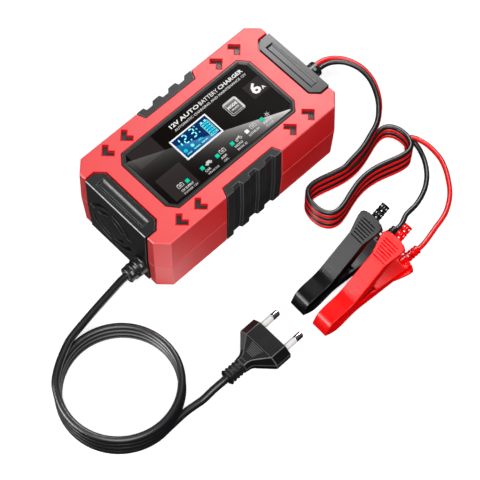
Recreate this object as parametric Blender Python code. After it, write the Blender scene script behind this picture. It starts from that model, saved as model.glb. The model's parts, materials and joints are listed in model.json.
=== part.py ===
"""Automatic 12 V car battery charger: case, panel, insides, mains lead and clamp leads.

The model is in metres, +Z up.  The origin is the middle of the case's footprint on the
floor, +X points to the clamp-lead end and -X to the mains-lead end.  All named sizes are
in millimetres and are turned into metres when a mesh is made.
"""
from math import atan2, ceil, cos, pi, radians, sin, sqrt, tan

import bmesh
import bpy
from mathutils import Matrix, Vector

MM = 0.001

# ---------------------------------------------------------------- driving dimensions
CASE_LENGTH = 144.0
CASE_WIDTH = 76.0
CASE_HEIGHT = 53.6
CASE_CORNER = 7.1          # corner chamfer in plan
BELLY = 0.6                # how far the walls lean out at the seam
TUCK = 0.4                 # how far the walls lean in at the floor
SEAM_Z = 26.4              # height of the seam between the two covers
WALL = 1.7
ROOF = 2.0
GAP = 0.3                  # clearance between neighbouring pieces
FOOT_HEIGHT = 0.8
FOOT_RADIUS = 4.0
FOOT_RECESS = 1.0                  # depth of the pocket that holds a foot
LINING_Z = (50.1, 51.3)            # bottom and top of the dark sheet under the roof
MAIN_BOARD_Z = (7.9, 9.5)
DISPLAY_BOARD_Z = (44.0, 45.6)

BEZEL_X, BEZEL_Y = 50.5, 24.2      # half-sizes of the panel's surround
PANEL_X, PANEL_Y = 47.6, 21.6      # half-sizes of the glossy panel
PANEL_TOP = 53.2

BUTTON_SIZE = 10.4
BUTTON_AT = (22.8, 2.9)
BUTTON_TRAVEL = 0.6

LED_SIZE = 2.3
LED_PITCH = 11.75
LED_FIRST = (-30.4, -14.5)

FAN_SIZE = 40.0
FAN_AT = (5.0, 25.9)               # y and z of the fan's shaft
FAN_BACK_X = -57.8
FAN_DEPTH = 10.0

MAINS_EXIT = (-20.9, 17.2)         # y and z where the mains lead leaves its end cap
DC_EXIT = (-1.0, 28.5)             # y and z where the clamp leads leave their end cap

MAINS_CORD = 4.6                   # diameters of the cords
DC_CORD = 3.1
COIL_AT = (-132.6, -66.8)
COIL_RADIUS = 35.0
COIL_PITCH = 4.9
COIL_TOP_Z = 18.0
BUNDLE_AT = (61.0, -64.6)
BUNDLE_HALF_LENGTH = 37.5
BUNDLE_PITCH = 6.5

PLUG_AT = (-48.6, -103.4, 6.2)     # middle of the plug's front face
PIN_PITCH = 19.0
PIN_RADIUS = 2.0
PIN_LENGTH = 14.0

CLAMP_LENGTH = 66.5                # tip of the jaws to the end of a handle
CLAMP_HALF_ANGLE = 22.0            # a handle's slope from the clamp's middle plane
CLAMP_PIVOT = 32.0                 # tip of the jaws to the pivot
CLAMP_HALF_WIDTH = 5.7
CLAMP_HEADING = -2.0
CLAMP_TIPS = {"black": (-25.0, -99.6), "red": (-25.2, -117.6)}

BOSSES = [(sx * 61.8, sy * 31.2) for sx in (-1, 1) for sy in (-1, 1)]
FEET = [(sx * 50.0, sy * 25.0) for sx in (-1, 1) for sy in (-1, 1)]
BOARD_POSTS = [(-49.0, 25.0), (-49.0, -25.0), (52.0, 25.0), (52.0, -25.0)]


# ---------------------------------------------------------------- scene and materials
def clear_scene():
    for old in list(bpy.data.objects):
        bpy.data.objects.remove(old, do_unlink=True)


def material(name, colour, roughness, metallic=0.0, alpha=1.0):
    made = bpy.data.materials.get(name)
    if made:
        return made
    made = bpy.data.materials.new(name)
    made.use_nodes = True
    shader = made.node_tree.nodes["Principled BSDF"]
    shader.inputs["Base Color"].default_value = (*colour, 1.0)
    shader.inputs["Roughness"].default_value = roughness
    shader.inputs["Metallic"].default_value = metallic
    shader.inputs["Alpha"].default_value = alpha
    return made


def red_plastic():
    return material("red_plastic", (0.78, 0.035, 0.045), 0.5)


def black_plastic():
    return material("black_plastic", (0.035, 0.035, 0.038), 0.5)


def gloss_red():
    return material("gloss_red", (0.80, 0.004, 0.004), 0.25)


def gloss_black():
    return material("gloss_black", (0.008, 0.008, 0.009), 0.25)


def soft_rubber():
    return material("soft_rubber", (0.012, 0.012, 0.013), 0.6)


def bright_steel():
    return material("bright_steel", (0.62, 0.62, 0.63), 0.25, 1.0)


def circuit_board():
    return material("circuit_board", (0.01, 0.12, 0.05), 0.45)


# ---------------------------------------------------------------- mesh helpers
def solid(name, verts, faces, look=None, parent=None):
    """A mesh object from points in millimetres, with its faces turned outward."""
    mesh = bpy.data.meshes.new(name)
    bm = bmesh.new()
    made = [bm.verts.new(Vector(v) * MM) for v in verts]
    for face in faces:
        bm.faces.new([made[i] for i in face])
    bmesh.ops.recalc_face_normals(bm, faces=bm.faces)
    bm.to_mesh(mesh)
    bm.free()
    obj = bpy.data.objects.new(name, mesh)
    bpy.context.collection.objects.link(obj)
    if look:
        mesh.materials.append(look)
    if parent:
        obj.parent = parent
    return obj


def loft(name, rings, look=None, parent=None, closed=False):
    """Skin equal-length rings of points.  A closed loft joins its last ring to its first."""
    n = len(rings[0])
    verts = [p for ring in rings for p in ring]
    faces = []
    spans = len(rings) if closed else len(rings) - 1
    for r in range(spans):
        a, b = r * n, ((r + 1) % len(rings)) * n
        for i in range(n):
            j = (i + 1) % n
            faces.append((a + i, a + j, b + j, b + i))
    if not closed:
        faces.append(tuple(range(n)))
        faces.append(tuple(range(len(verts) - n, len(verts))))
    return solid(name, verts, faces, look, parent)


def prism(name, outline, z0, z1, look=None, parent=None):
    return loft(name, [[(x, y, z) for x, y in outline] for z in (z0, z1)], look, parent)


def box(name, low, high, look=None, parent=None):
    (x0, y0, z0), (x1, y1, z1) = low, high
    return prism(name, [(x0, y0), (x1, y0), (x1, y1), (x0, y1)], z0, z1, look, parent)


def round_solid(name, profile, sides, place, look=None, parent=None, bored=False):
    """Turn a profile of (distance along, radius) points about the line that `place` gives."""
    rings = []
    for along, radius in profile:
        angles = [2 * pi * k / sides for k in range(sides)]
        rings.append([place @ Vector((along, radius * cos(a), radius * sin(a))) for a in angles])
    return loft(name, rings, look, parent, closed=bored)


def along_x(x, y, z, sign=1):
    """A frame at a point whose own X axis runs along +X or -X."""
    turn = Matrix.Rotation(0.0 if sign > 0 else pi, 4, "Z")
    return Matrix.Translation((x, y, z)) @ turn


def along_z(x, y, z):
    return Matrix.Translation((x, y, z)) @ Matrix.Rotation(-pi / 2, 4, "Y")


def along_y(x, y, z):
    return Matrix.Translation((x, y, z)) @ Matrix.Rotation(pi / 2, 4, "Z")


def shape_with(target, tool, operation):
    """Cut the tool from the target, or weld it on, with a Boolean modifier."""
    tool.hide_render = True
    tool.display_type = "WIRE"
    step = target.modifiers.new(tool.name, "BOOLEAN")
    step.operation = operation
    step.solver = "EXACT"
    step.object = tool


def cut(target, *tools):
    for tool in tools:
        shape_with(target, tool, "DIFFERENCE")


def weld(target, *tools):
    for tool in tools:
        shape_with(target, tool, "UNION")


def octagon(half_x, half_y, cut_x, cut_y):
    corner = [(half_x, half_y - cut_y), (half_x - cut_x, half_y)]
    right = corner
    left = [(-x, y) for x, y in reversed(corner)]
    return right + left + [(-x, -y) for x, y in right] + [(-x, -y) for x, y in left]


def mirrored(points):
    """The points and their mirror images across the X axis, as one outline."""
    return points + [(x, -y) for x, y in reversed(points)]


def rounded_square(cx, cy, size, radius, steps=3):
    half = size / 2 - radius
    points = []
    for quarter, (sx, sy) in enumerate([(1, 1), (-1, 1), (-1, -1), (1, -1)]):
        for k in range(steps + 1):
            a = pi / 2 * (quarter + k / steps)
            points.append((cx + sx * half + radius * cos(a), cy + sy * half + radius * sin(a)))
    return points


# ---------------------------------------------------------------- cords
def tube(name, path, radius, sides, look, parent=None):
    """A round cord along a path, its section carried along without twisting."""
    path = [Vector(p) for p in path]
    rings = []
    side = None
    for i, here in enumerate(path):
        ahead = path[min(i + 1, len(path) - 1)]
        behind = path[max(i - 1, 0)]
        run = (ahead - behind).normalized()
        if side is None:
            side = run.cross(Vector((0, 0, 1))).normalized()
        side = (side - run * side.dot(run)).normalized()
        up = side.cross(run)
        ring = []
        for k in range(sides):
            a = 2 * pi * (k + 0.5) / sides
            ring.append(here + radius * (cos(a) * side + sin(a) * up))
        rings.append(ring)
    return loft(name, rings, look, parent)


def curve_through(points, step):
    """Points about `step` apart on a smooth Catmull-Rom curve through the given points."""
    points = [Vector(p) for p in points]
    ends = [2 * points[0] - points[1]] + points + [2 * points[-1] - points[-2]]
    path = [points[0]]
    for i in range(1, len(points)):
        p0, p1, p2, p3 = ends[i - 1:i + 3]
        count = max(1, ceil((p2 - p1).length / step))
        for k in range(1, count + 1):
            u = k / count
            path.append(0.5 * (2 * p1 + (p2 - p0) * u + (2 * p0 - 5 * p1 + 4 * p2 - p3) * u ** 2
                               + (3 * p1 - p0 - 3 * p2 + p3) * u ** 3))
    return path


def mains_path():
    """Boot, a sweep out to the coil's top turn, down through the turns, and on to the plug."""
    y, z = MAINS_EXIT
    lead = [(-66.5, y, z), (-79.0, y, z), (-88.5, y, z), (-98.0, -22.2, 17.2),
            (-112.0, -24.3, 17.3), (-128.0, -27.2, 17.9), (-137.6, -29.8, 18.7),
            (-145.2, -33.5, 19.2), (-152.0, -37.6, 19.2), (-158.6, -42.8, 18.7)]
    cx, cy = COIL_AT
    start, end = radians(150), radians(150 + 3 * 360 + 128)
    coil = []
    count = 84
    for k in range(count + 1):
        a = start + (end - start) * k / count
        coil.append((cx + COIL_RADIUS * cos(a), cy + COIL_RADIUS * sin(a),
                     COIL_TOP_Z - COIL_PITCH * (a - start) / (2 * pi)))
    floor = MAINS_CORD / 2 + 0.1
    px, py, pz = PLUG_AT
    tail = [(-114.0, -101.2, floor), (-102.0, -102.6, floor + 0.4), (px - 46.0, py + 0.6, pz - 1.6),
            (px - 38.0, py, pz), (px - 29.0, py, pz)]
    coil = [(x, y, max(z, floor)) for x, y, z in coil]
    return curve_through(lead + [coil[0]], 9.0)[:-1] + [Vector(p) for p in coil] \
        + curve_through([coil[-1]] + tail, 9.0)[1:]


def bundle_point(angle, turn_z):
    """A point on the dog-bone loop of the tied clamp leads."""
    x = BUNDLE_HALF_LENGTH * cos(angle)
    y = sin(angle) * (5.3 + 20.5 * cos(angle) ** 2)
    return Vector((BUNDLE_AT[0] + x, BUNDLE_AT[1] + y, turn_z))


def pair_path():
    """The middle of the two clamp leads, and how far the pair has turned on edge (0 to 1)."""
    y, z = DC_EXIT
    lead = [(67.5, y, z), (79.0, y, z), (91.0, y, z), (98.0, -3.1, 28.2), (104.5, -9.0, 27.4),
            (108.2, -18.5, 26.2), (107.4, -29.0, 24.6), (102.6, -38.8, 23.0), (97.0, -45.2, 22.2),
            (89.4, -50.8, 21.5), (80.0, -54.2, 21.0), (70.0, -57.0, 20.7)]
    start, end = radians(101), radians(2 * 360 + 331)
    top = 20.5
    loop = []
    count = 78
    for k in range(count + 1):
        a = start + (end - start) * k / count
        loop.append(bundle_point(a, top - BUNDLE_PITCH * (a - start) / (2 * pi)))
    entry = curve_through(lead + [loop[0]], 7.0)[:-1]
    turned = [min(1.0, max(0.0, (i - 5) / (len(entry) - 12))) for i in range(len(entry))]
    return entry + loop, turned + [1.0] * len(loop)


def pair_offsets():
    """Paths of the black (negative) and red (positive) leads as far as the loop's exit."""
    path, turned = pair_path()
    black, red = [], []
    for i, here in enumerate(path):
        run = (path[min(i + 1, len(path) - 1)] - path[max(i - 1, 0)]).normalized()
        right = run.cross(Vector((0, 0, 1))).normalized()
        a = pi / 2 * turned[i]
        half = (BUNDLE_PITCH / 4) * (cos(a) * right + sin(a) * Vector((0, 0, 1)))
        black.append(here + half)
        red.append(here - half)
    return black, red


def clamp_cable_entry(colour):
    """Where a lead enters its clamp's lower boot, and the way it runs there."""
    tip = clamp_matrix(colour)
    start = tip @ boot_frame(-1) @ Vector((5.5, 0, 0))
    outside = tip @ boot_frame(-1) @ Vector((15.5, 0, 0))
    return start, outside


def lead_paths():
    black, red = pair_offsets()
    floor = DC_CORD / 2 + 0.1
    low_red, low_black = red[-1].z, black[-1].z
    end, out = clamp_cable_entry("red")
    red_tail = [(105.2, -63.4, low_red), (110.2, -73.5, floor), (108.6, -88.5, floor),
                (101.6, -100.6, floor), (94.0, -108.8, floor), (84.0, -114.7, floor),
                (73.0, -117.4, floor + 0.5), out, end]
    black_end, black_out = clamp_cable_entry("black")
    black_tail = [(104.4, -68.4, low_black - 0.9), (102.6, -78.6, floor), (95.3, -88.8, floor),
                  (86.0, -95.4, floor), (75.3, -98.8, floor + 0.3), (66.0, -99.6, floor + 0.9),
                  black_out, black_end]
    return (black + curve_through([black[-1]] + black_tail, 7.0)[1:],
            red + curve_through([red[-1]] + red_tail, 7.0)[1:])


# ---------------------------------------------------------------- case
def case_half_sizes(z):
    """Half-length and half-width of the case's outside at a height."""
    top_x, top_y = CASE_LENGTH / 2, CASE_WIDTH / 2
    if z >= SEAM_Z:
        lean = BELLY * (CASE_HEIGHT - z) / (CASE_HEIGHT - SEAM_Z)
        return top_x + lean, top_y + lean
    lean = (BELLY + TUCK) * (SEAM_Z - z) / SEAM_Z
    return top_x + BELLY - lean, top_y + BELLY - lean


def case_ring(z, inset=0.0):
    """The case's eight-sided outline at a height, or one the same distance inside it."""
    half_x, half_y = case_half_sizes(z)
    corner = CASE_CORNER - (2 - sqrt(2)) * inset
    outline = octagon(half_x - inset, half_y - inset, corner, corner)
    return [(x, y, z) for x, y in outline]


def end_notch(sign):
    """The opening for an end cap: through the roof's end and the end wall."""
    half = [(60.0, 21.0), (65.0, 26.2), (80.0, 26.2)]
    return [(sign * x, y) for x, y in mirrored(half)]


def side_notch(sign):
    half = [(19.5, 32.0), (24.9, 45.0)]
    return [(x, sign * y) for x, y in half + [(-x, y) for x, y in reversed(half)]]


def notch_cutters(z0, z1, tag):
    made = []
    for sign in (-1, 1):
        made.append(prism(f"cut_end_{tag}_{sign}", end_notch(sign), z0, z1))
        made.append(prism(f"cut_side_{tag}_{sign}", side_notch(sign), z0, z1))
    return made


def chevron(cx, cy, point):
    """A 90 degree arrowhead whose arms lie at 45 degrees, its outer corner at (cx, cy)."""
    arm, width = 6.6, 2.8
    d = 1 / sqrt(2)
    reach, back = arm * d, width * d
    outline = [(0, 0), (reach, reach), (reach + back, reach - back), (2 * back, 0),
               (reach + back, back - reach), (reach, -reach)]
    return [(cx - point * x, cy + y) for x, y in outline]


def chevron_cutters():
    made = []
    for sx in (-1, 1):
        for sy in (-1, 1):
            for k, reach in enumerate((39.8, 54.4)):
                outline = chevron(sx * reach, sy * 31.0, sx)
                made.append(prism(f"cut_chevron_{sx}_{sy}_{k}", outline, 50.0, 56.0))
    return made


def top_cover():
    cover = loft("top_cover", [case_ring(SEAM_Z + 0.15), case_ring(53.1), case_ring(53.6, 0.5)],
                 red_plastic())
    roof = CASE_HEIGHT - ROOF
    cut(cover, loft("cut_top_cavity", [case_ring(SEAM_Z - 1, WALL), case_ring(roof, WALL)]))
    window = octagon(BEZEL_X + GAP, BEZEL_Y + GAP, 5.0, 6.0)
    cut(cover, prism("cut_window", window, 50.0, 56.0))
    cut(cover, *notch_cutters(20.0, 60.0, "top"))
    cut(cover, *chevron_cutters())
    for k, (x, y) in enumerate(BOSSES):
        weld(cover, round_solid(f"add_boss_{k}", [(12.0, 2.9), (52.0, 2.9)], 8, along_z(x, y, 0)))
        cut(cover, round_solid(f"cut_boss_{k}", [(10.0, 1.8), (26.0, 1.8)], 8, along_z(x, y, 0)))
    return cover


def bottom_cover():
    floor = FOOT_HEIGHT
    cover = loft("bottom_cover", [case_ring(floor, 0.4), case_ring(floor + 0.4),
                                  case_ring(SEAM_Z - 0.15)], red_plastic())
    cavity = [case_ring(floor + 1.8, WALL), case_ring(SEAM_Z + 1, WALL)]
    cut(cover, loft("cut_bottom_cavity", cavity))
    for sign in (-1, 1):
        low = (min(sign * 68.6, sign * 80), -26.2, -1)
        high = (max(sign * 68.6, sign * 80), 26.2, 30)
        cut(cover, box(f"cut_end_low_{sign}", low, high))
        cut(cover, prism(f"cut_side_low_{sign}", side_notch(sign), -1.0, 30.0))
    for k, (x, y) in enumerate(BOSSES):
        weld(cover, round_solid(f"add_collar_{k}", [(floor + 1.0, 4.5), (11.5, 4.5)], 8,
                                along_z(x, y, 0)))
        steps = [(-1.0, 3.4), (5.0, 3.4), (5.0, 1.9), (13.0, 1.9)]
        cut(cover, round_solid(f"cut_collar_{k}", steps, 8, along_z(x, y, 0)))
    for k, (x, y) in enumerate(BOARD_POSTS):
        post = [(floor + 1.5, 2.2), (MAIN_BOARD_Z[0] - GAP, 2.2)]
        weld(cover, round_solid(f"add_post_{k}", post, 8, along_z(x, y, 0)))
    pocket = [(-1.0, FOOT_RADIUS + 0.4), (floor + FOOT_RECESS, FOOT_RADIUS + 0.4)]
    for k, (x, y) in enumerate(FEET):
        cut(cover, round_solid(f"cut_foot_{k}", pocket, 12, along_z(x, y, 0)))
    return cover


def case_screws():
    head, shank = 2.7, 1.35
    for k, (x, y) in enumerate(BOSSES):
        profile = [(2.6, head), (4.6, head), (4.6, shank), (22.0, shank)]
        screw = round_solid(f"case_screw_{k + 1}", profile, 8, along_z(x, y, 0), bright_steel())
        slot = box(f"cut_slot_{k}", (x - 1.9, y - 0.35, 2.0), (x + 1.9, y + 0.35, 3.4))
        cross = box(f"cut_cross_{k}", (x - 0.35, y - 1.9, 2.0), (x + 0.35, y + 1.9, 3.4))
        cut(screw, slot, cross)


def rubber_feet():
    top = FOOT_HEIGHT + FOOT_RECESS - GAP
    profile = [(0.0, FOOT_RADIUS - 0.4), (0.25, FOOT_RADIUS), (top, FOOT_RADIUS)]
    for k, (x, y) in enumerate(FEET):
        round_solid(f"rubber_foot_{k + 1}", profile, 12, along_z(x, y, 0), soft_rubber())


# ---------------------------------------------------------------- end caps and side grips
def end_cap_face(name, sign):
    """The upright wall of an end cap, standing 0.7 mm proud of the leaning end of the case."""
    bottom = FOOT_HEIGHT + 0.1
    rings = []
    for y in (-25.0, 25.0):
        ring = []
        for z in (bottom, SEAM_Z, CASE_HEIGHT):
            ring.append((sign * (case_half_sizes(z)[0] + 0.7), y, z))
        for z in (CASE_HEIGHT, bottom):
            ring.append((sign * 68.9, y, z))
        rings.append(ring)
    return loft(name, rings, black_plastic())


def cap_recess(name, sign):
    """The long shallow recess in a cap's top, with sloping walls."""
    outer, inner = (64.0, 69.7, 19.2), (65.4, 68.3, 18.2)
    rings = []
    for (x0, x1, y), z in ((inner, CASE_HEIGHT - 1.2), (outer, CASE_HEIGHT), (outer, 60.0)):
        rings.append([(sign * x0, -y, z), (sign * x1, -y, z), (sign * x1, y, z), (sign * x0, y, z)])
    return loft(name, rings)


def end_cap(name, sign):
    cap = end_cap_face(name, sign)
    half = [(61.0, 20.6), (65.6, 25.0), (71.5, 25.0)]
    plate = [(sign * x, y) for x, y in mirrored(half)]
    weld(cap, prism(f"add_plate_{sign}", plate, LINING_Z[1], CASE_HEIGHT))
    x0, x1 = sorted((sign * 68.1, sign * 69.2))
    weld(cap, box(f"add_flange_{sign}", (x0, -28.4, 5.0), (x1, 28.4, LINING_Z[1])))
    x0, x1 = sorted((sign * 58.6, sign * 69.2))
    weld(cap, box(f"add_lip_{sign}", (x0, -27.8, LINING_Z[0]), (x1, 27.8, LINING_Z[1])))
    cut(cap, cap_recess(f"cut_recess_{sign}", sign))
    return cap


def grille_slots():
    """Two rings of four curved slots around the fan's shaft."""
    made = []
    y0, z0 = FAN_AT
    for ring, (inner, outer) in enumerate(((9.4, 12.4), (14.9, 18.2))):
        middle = (inner + outer) / 2
        flat = atan2(5.0, middle)              # half-angle of the level bar
        upright = atan2(1.9, middle)           # half-angle of the upright bar
        for quarter in range(4):
            base = quarter * pi / 2
            first, last = (flat, upright) if quarter % 2 == 0 else (upright, flat)
            start, stop = base + first, base + pi / 2 - last
            count = 6
            angles = [start + (stop - start) * k / count for k in range(count + 1)]
            outline = [(outer * cos(a), outer * sin(a)) for a in angles]
            outline += [(inner * cos(a), inner * sin(a)) for a in reversed(angles)]
            rings = [[(x, y0 + u, z0 + v) for u, v in outline] for x in (-80.0, -60.0)]
            made.append(loft(f"cut_grille_{ring}_{quarter}", rings))
    return made


def ac_end_cap():
    cap = end_cap("ac_end_cap", -1)
    cut(cap, *grille_slots())
    y, z = MAINS_EXIT
    cut(cap, round_solid("cut_mains_hole", [(60.0, 3.6), (80.0, 3.6)], 14, along_x(0, y, z, -1)))
    return cap


def dc_end_cap():
    cap = end_cap("dc_end_cap", 1)
    y, z = DC_EXIT
    cut(cap, round_solid("cut_dc_hole", [(60.0, 3.9), (80.0, 3.9)], 14, along_x(0, y, z)))
    return cap


def grip_outline(rib_y, groove_y, inner_y):
    ribs = [(-21.4, -16.2), (-9.0, -3.5), (3.5, 9.0), (16.2, 21.4)]
    lean = 1.0
    outline = [(19.1, inner_y), (-19.1, inner_y)]
    for k, (left, right) in enumerate(ribs):
        if k:
            outline.append((left - lean, groove_y))
        outline += [(left, rib_y), (right, rib_y)]
        if k < len(ribs) - 1:
            outline.append((right + lean, groove_y))
    return outline


def side_grip(name, side):
    levels = ((FOOT_HEIGHT + 0.1, 1.6), (SEAM_Z, 1.6), (51.8, 1.5), (CASE_HEIGHT, 2.9))
    rings = []
    for z, groove in levels:
        rib_y = case_half_sizes(z)[1] + 0.1
        outline = grip_outline(rib_y, rib_y - groove, CASE_WIDTH / 2 - 5.7)
        rings.append([(x, side * y, z) for x, y in outline])
    return loft(name, rings, black_plastic())


# ---------------------------------------------------------------- front panel
def front_bezel():
    """The panel's surround with the dark lining that shows through the roof's arrowheads."""
    bezel = prism("front_bezel", octagon(BEZEL_X, BEZEL_Y, 5.0, 6.0), LINING_Z[0], 53.8,
                  black_plastic())
    quarter = [(57.2, 35.8), (26.5, 35.8), (24.5, 31.2)]
    outline = quarter + [(-x, y) for x, y in reversed(quarter)]
    outline += [(-x, -y) for x, y in quarter] + [(x, -y) for x, y in reversed(quarter)]
    weld(bezel, prism("add_lining", outline, *LINING_Z))
    for k, (x, y) in enumerate([(sx * 46.6, sy * 20.4) for sx in (-1, 1) for sy in (-1, 1)]):
        stud = [(DISPLAY_BOARD_Z[1] + GAP, 1.1), (50.6, 1.1)]
        weld(bezel, round_solid(f"add_stud_{k}", stud, 8, along_z(x, y, 0)))
    ledge = octagon(PANEL_X - 2.0, PANEL_Y - 2.0, 3.0, 3.7)
    cut(bezel, prism("cut_ledge", ledge, 45.0, 60.0))
    seat = octagon(PANEL_X + GAP, PANEL_Y + GAP, 3.0, 3.7)
    slope = octagon(PANEL_X + 1.8, PANEL_Y + 1.6, 4.0, 4.9)
    rings = [[(x, y, z) for x, y in ring] for ring, z in
             ((seat, 51.9), (seat, PANEL_TOP), (slope, 53.8), (slope, 56.0))]
    cut(bezel, loft("cut_seat", rings))
    return bezel


def led_places():
    x0, y0 = LED_FIRST
    return [(x0 + k * LED_PITCH, y0) for k in range(6)]


def display_panel():
    panel = prism("display_panel", octagon(PANEL_X, PANEL_Y, 3.0, 3.7), 52.2, PANEL_TOP,
                  material("panel_gloss", (0.006, 0.005, 0.005), 0.12))
    cut(panel, box("cut_lcd", (-21.3, -5.4, 50.0), (7.5, 11.4, 56.0)))
    cut(panel, prism("cut_button", rounded_square(*BUTTON_AT, BUTTON_SIZE + 0.6, 2.3), 50.0, 56.0))
    for k, (x, y) in enumerate(led_places()):
        h = LED_SIZE / 2 + GAP
        cut(panel, box(f"cut_led_{k}", (x - h, y - h, 50.0), (x + h, y + h, 56.0)))
    return panel


def lcd():
    box("lcd_module", (-21.0, -5.1, 46.0), (7.2, 11.1, 51.9),
        material("lcd_frame", (0.75, 0.78, 0.8), 0.5))
    box("lcd_window", (-21.0, -5.1, 52.2), (7.2, 11.1, PANEL_TOP),
        material("lcd_glass", (0.02, 0.15, 0.4), 0.08))


def mode_button():
    """Origin on the button's own axis; it slides straight down onto the switch."""
    x, y = BUTTON_AT
    look = material("button_grey", (0.5, 0.51, 0.52), 0.35)
    cap = prism("mode_button", rounded_square(0, 0, BUTTON_SIZE, 2.0), 50.6, 53.5, look)
    cap.location = (x * MM, y * MM, 0)
    flange = prism("add_flange", rounded_square(0, 0, BUTTON_SIZE + 2.0, 2.4), 50.2, 51.4)
    stem = round_solid("add_stem", [(48.1, 1.6), (51.0, 1.6)], 12, along_z(0, 0, 0))
    for tool in (flange, stem):
        tool.location = cap.location
        weld(cap, tool)
    return cap


def indicator_leds():
    names = ("supply", "car", "agm", "motorcycle", "lithium", "repair")
    for k, (x, y) in enumerate(led_places()):
        look = material(f"led_{'white' if k == 4 else 'teal'}",
                        (0.9, 0.95, 0.95) if k == 4 else (0.0, 0.75, 0.5), 0.25)
        h = LED_SIZE / 2
        box(f"led_{names[k]}", (x - h, y - h, 46.0), (x + h, y + h, 53.3), look)


# ---------------------------------------------------------------- insides
def display_board():
    bottom, top = DISPLAY_BOARD_Z
    box("display_board", (-48.5, -21.2, bottom), (48.5, 21.2, top), circuit_board())
    x, y = BUTTON_AT
    switch = box("tact_switch", (x - 3.0, y - 3.0, top + GAP), (x + 3.0, y + 3.0, 47.0),
                 black_plastic())
    weld(switch, round_solid("add_actuator", [(46.5, 1.5), (47.4, 1.5)], 10, along_z(x, y, 0)))


def main_board():
    bottom, top = MAIN_BOARD_Z
    box("main_board", (-54.0, -30.2, bottom), (57.0, 30.2, top), circuit_board())


def transformer():
    core = box("transformer", (-9.0, -15.0, MAIN_BOARD_Z[1] + GAP), (21.0, 15.0, 30.0),
               material("ferrite", (0.05, 0.05, 0.055), 0.6))
    winding = octagon(11.0, 12.5, 3.0, 3.0)
    rings = [[(6.0 + x, y, z) for x, y in winding] for z in (10.5, 36.0)]
    weld(core, loft("add_winding", rings))


def capacitors():
    sleeve = material("capacitor_sleeve", (0.03, 0.05, 0.14), 0.35)
    foot = MAIN_BOARD_Z[1] + GAP
    for name, (x, y), radius, top in (("mains_capacitor", (-36.0, -14.0), 9.0, 40.0),
                                      ("output_capacitor", (50.5, -20.0), 5.0, 30.0)):
        profile = [(foot, radius), (foot + 1.7, radius), (foot + 2.3, radius - 0.5),
                   (foot + 2.9, radius), (top - 0.6, radius), (top, radius - 0.6)]
        round_solid(name, profile, 16, along_z(x, y, 0), sleeve)


def heatsink():
    alloy = material("alloy", (0.6, 0.6, 0.62), 0.4, 1.0)
    fins = 5
    outline = [(30.0, -2.0)]
    x = 30.0
    for k in range(fins):
        outline += [(x, 12.0), (x + 1.4, 12.0)]
        x += 4.2
        if k < fins - 1:
            outline += [(x - 2.8, 0.8), (x, 0.8)]
    outline.append((x - 2.8, -2.0))
    prism("heatsink", [(u, v + 12.0) for u, v in outline], MAIN_BOARD_Z[1] + GAP, 38.0, alloy)
    body = box("power_transistor", (33.0, 5.0, 14.0), (43.0, 9.7, 23.0), black_plastic())
    weld(body, box("add_tab", (33.0, 8.5, 14.0), (43.0, 9.7, 30.0)))
    cut(body, round_solid("cut_tab", [(0.0, 1.8), (15.0, 1.8)], 10, along_y(38.0, 0.0, 26.5)))


def choke_and_fuse():
    rings = []
    for k in range(16):
        a = 2 * pi * k / 16
        ring = []
        for j in range(8):
            b = 2 * pi * j / 8
            r = 7.5 + 3.0 * cos(b)
            ring.append((33.0 + r * cos(a), -19.0 + r * sin(a), 13.2 + 3.3 * sin(b)))
        rings.append(ring)
    loft("filter_choke", rings, material("copper_wire", (0.55, 0.2, 0.06), 0.35, 1.0), closed=True)
    profile = [(-10.0, 2.2), (-5.0, 2.2), (-5.0, 1.9), (5.0, 1.9), (5.0, 2.2), (10.0, 2.2)]
    round_solid("mains_fuse", profile, 12, along_x(-36.0, 17.0, 12.2), bright_steel())


def fan_frame():
    y, z = FAN_AT
    half = FAN_SIZE / 2
    x0, x1 = FAN_BACK_X - FAN_DEPTH, FAN_BACK_X
    frame = box("fan_frame", (x0, y - half, z - half), (x1, y + half, z + half), black_plastic())
    hole = round_solid("cut_fan_hole", [(x0 - 1, 18.8), (x1 + 1, 18.8)], 32, along_x(0, y, z))
    cut(frame, hole)
    hub = round_solid("add_fan_hub", [(x1 - 1.6, 8.0), (x1 - 0.02, 8.0)], 16, along_x(0, y, z))
    arm = 1.1
    level = box("add_arm_level", (x1 - 1.6, y - 19.4, z - arm), (x1 - 0.02, y + 19.4, z + arm))
    upright = box("add_arm_upright", (x1 - 1.6, y - arm, z - 19.4), (x1 - 0.02, y + arm, z + 19.4))
    weld(frame, hub, level, upright)
    weld(frame, round_solid("add_spindle", [(x1 - 6.5, 1.0), (x1 - 1.0, 1.0)], 8, along_x(0, y, z)))
    for sy in (-1, 1):
        for sz in (-1, 1):
            place = along_x(0, y + sy * 16.0, z + sz * 16.0)
            cut(frame, round_solid(f"cut_fan_screw_{sy}_{sz}", [(x0 - 1, 1.6), (x1 + 1, 1.6)], 8, place))


def fan_rotor():
    """Origin on the spindle; seven pitched blades on a cup that turns about X."""
    y, z = FAN_AT
    hub_front, hub_back = -66.6, -60.0
    rotor = round_solid("fan_rotor", [(0.0, 8.2), (hub_back - hub_front, 8.2)], 14,
                        along_x(0, 0, 0), black_plastic())
    rotor.location = (hub_front * MM, y * MM, z * MM)
    bore = round_solid("cut_spindle", [(1.5, 1.3), (10.0, 1.3)], 8, along_x(0, 0, 0))
    bore.location = rotor.location
    for k in range(7):
        blade = fan_blade(f"add_blade_{k}", 2 * pi * k / 7)
        blade.location = rotor.location
        weld(rotor, blade)
    cut(rotor, bore)


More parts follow.
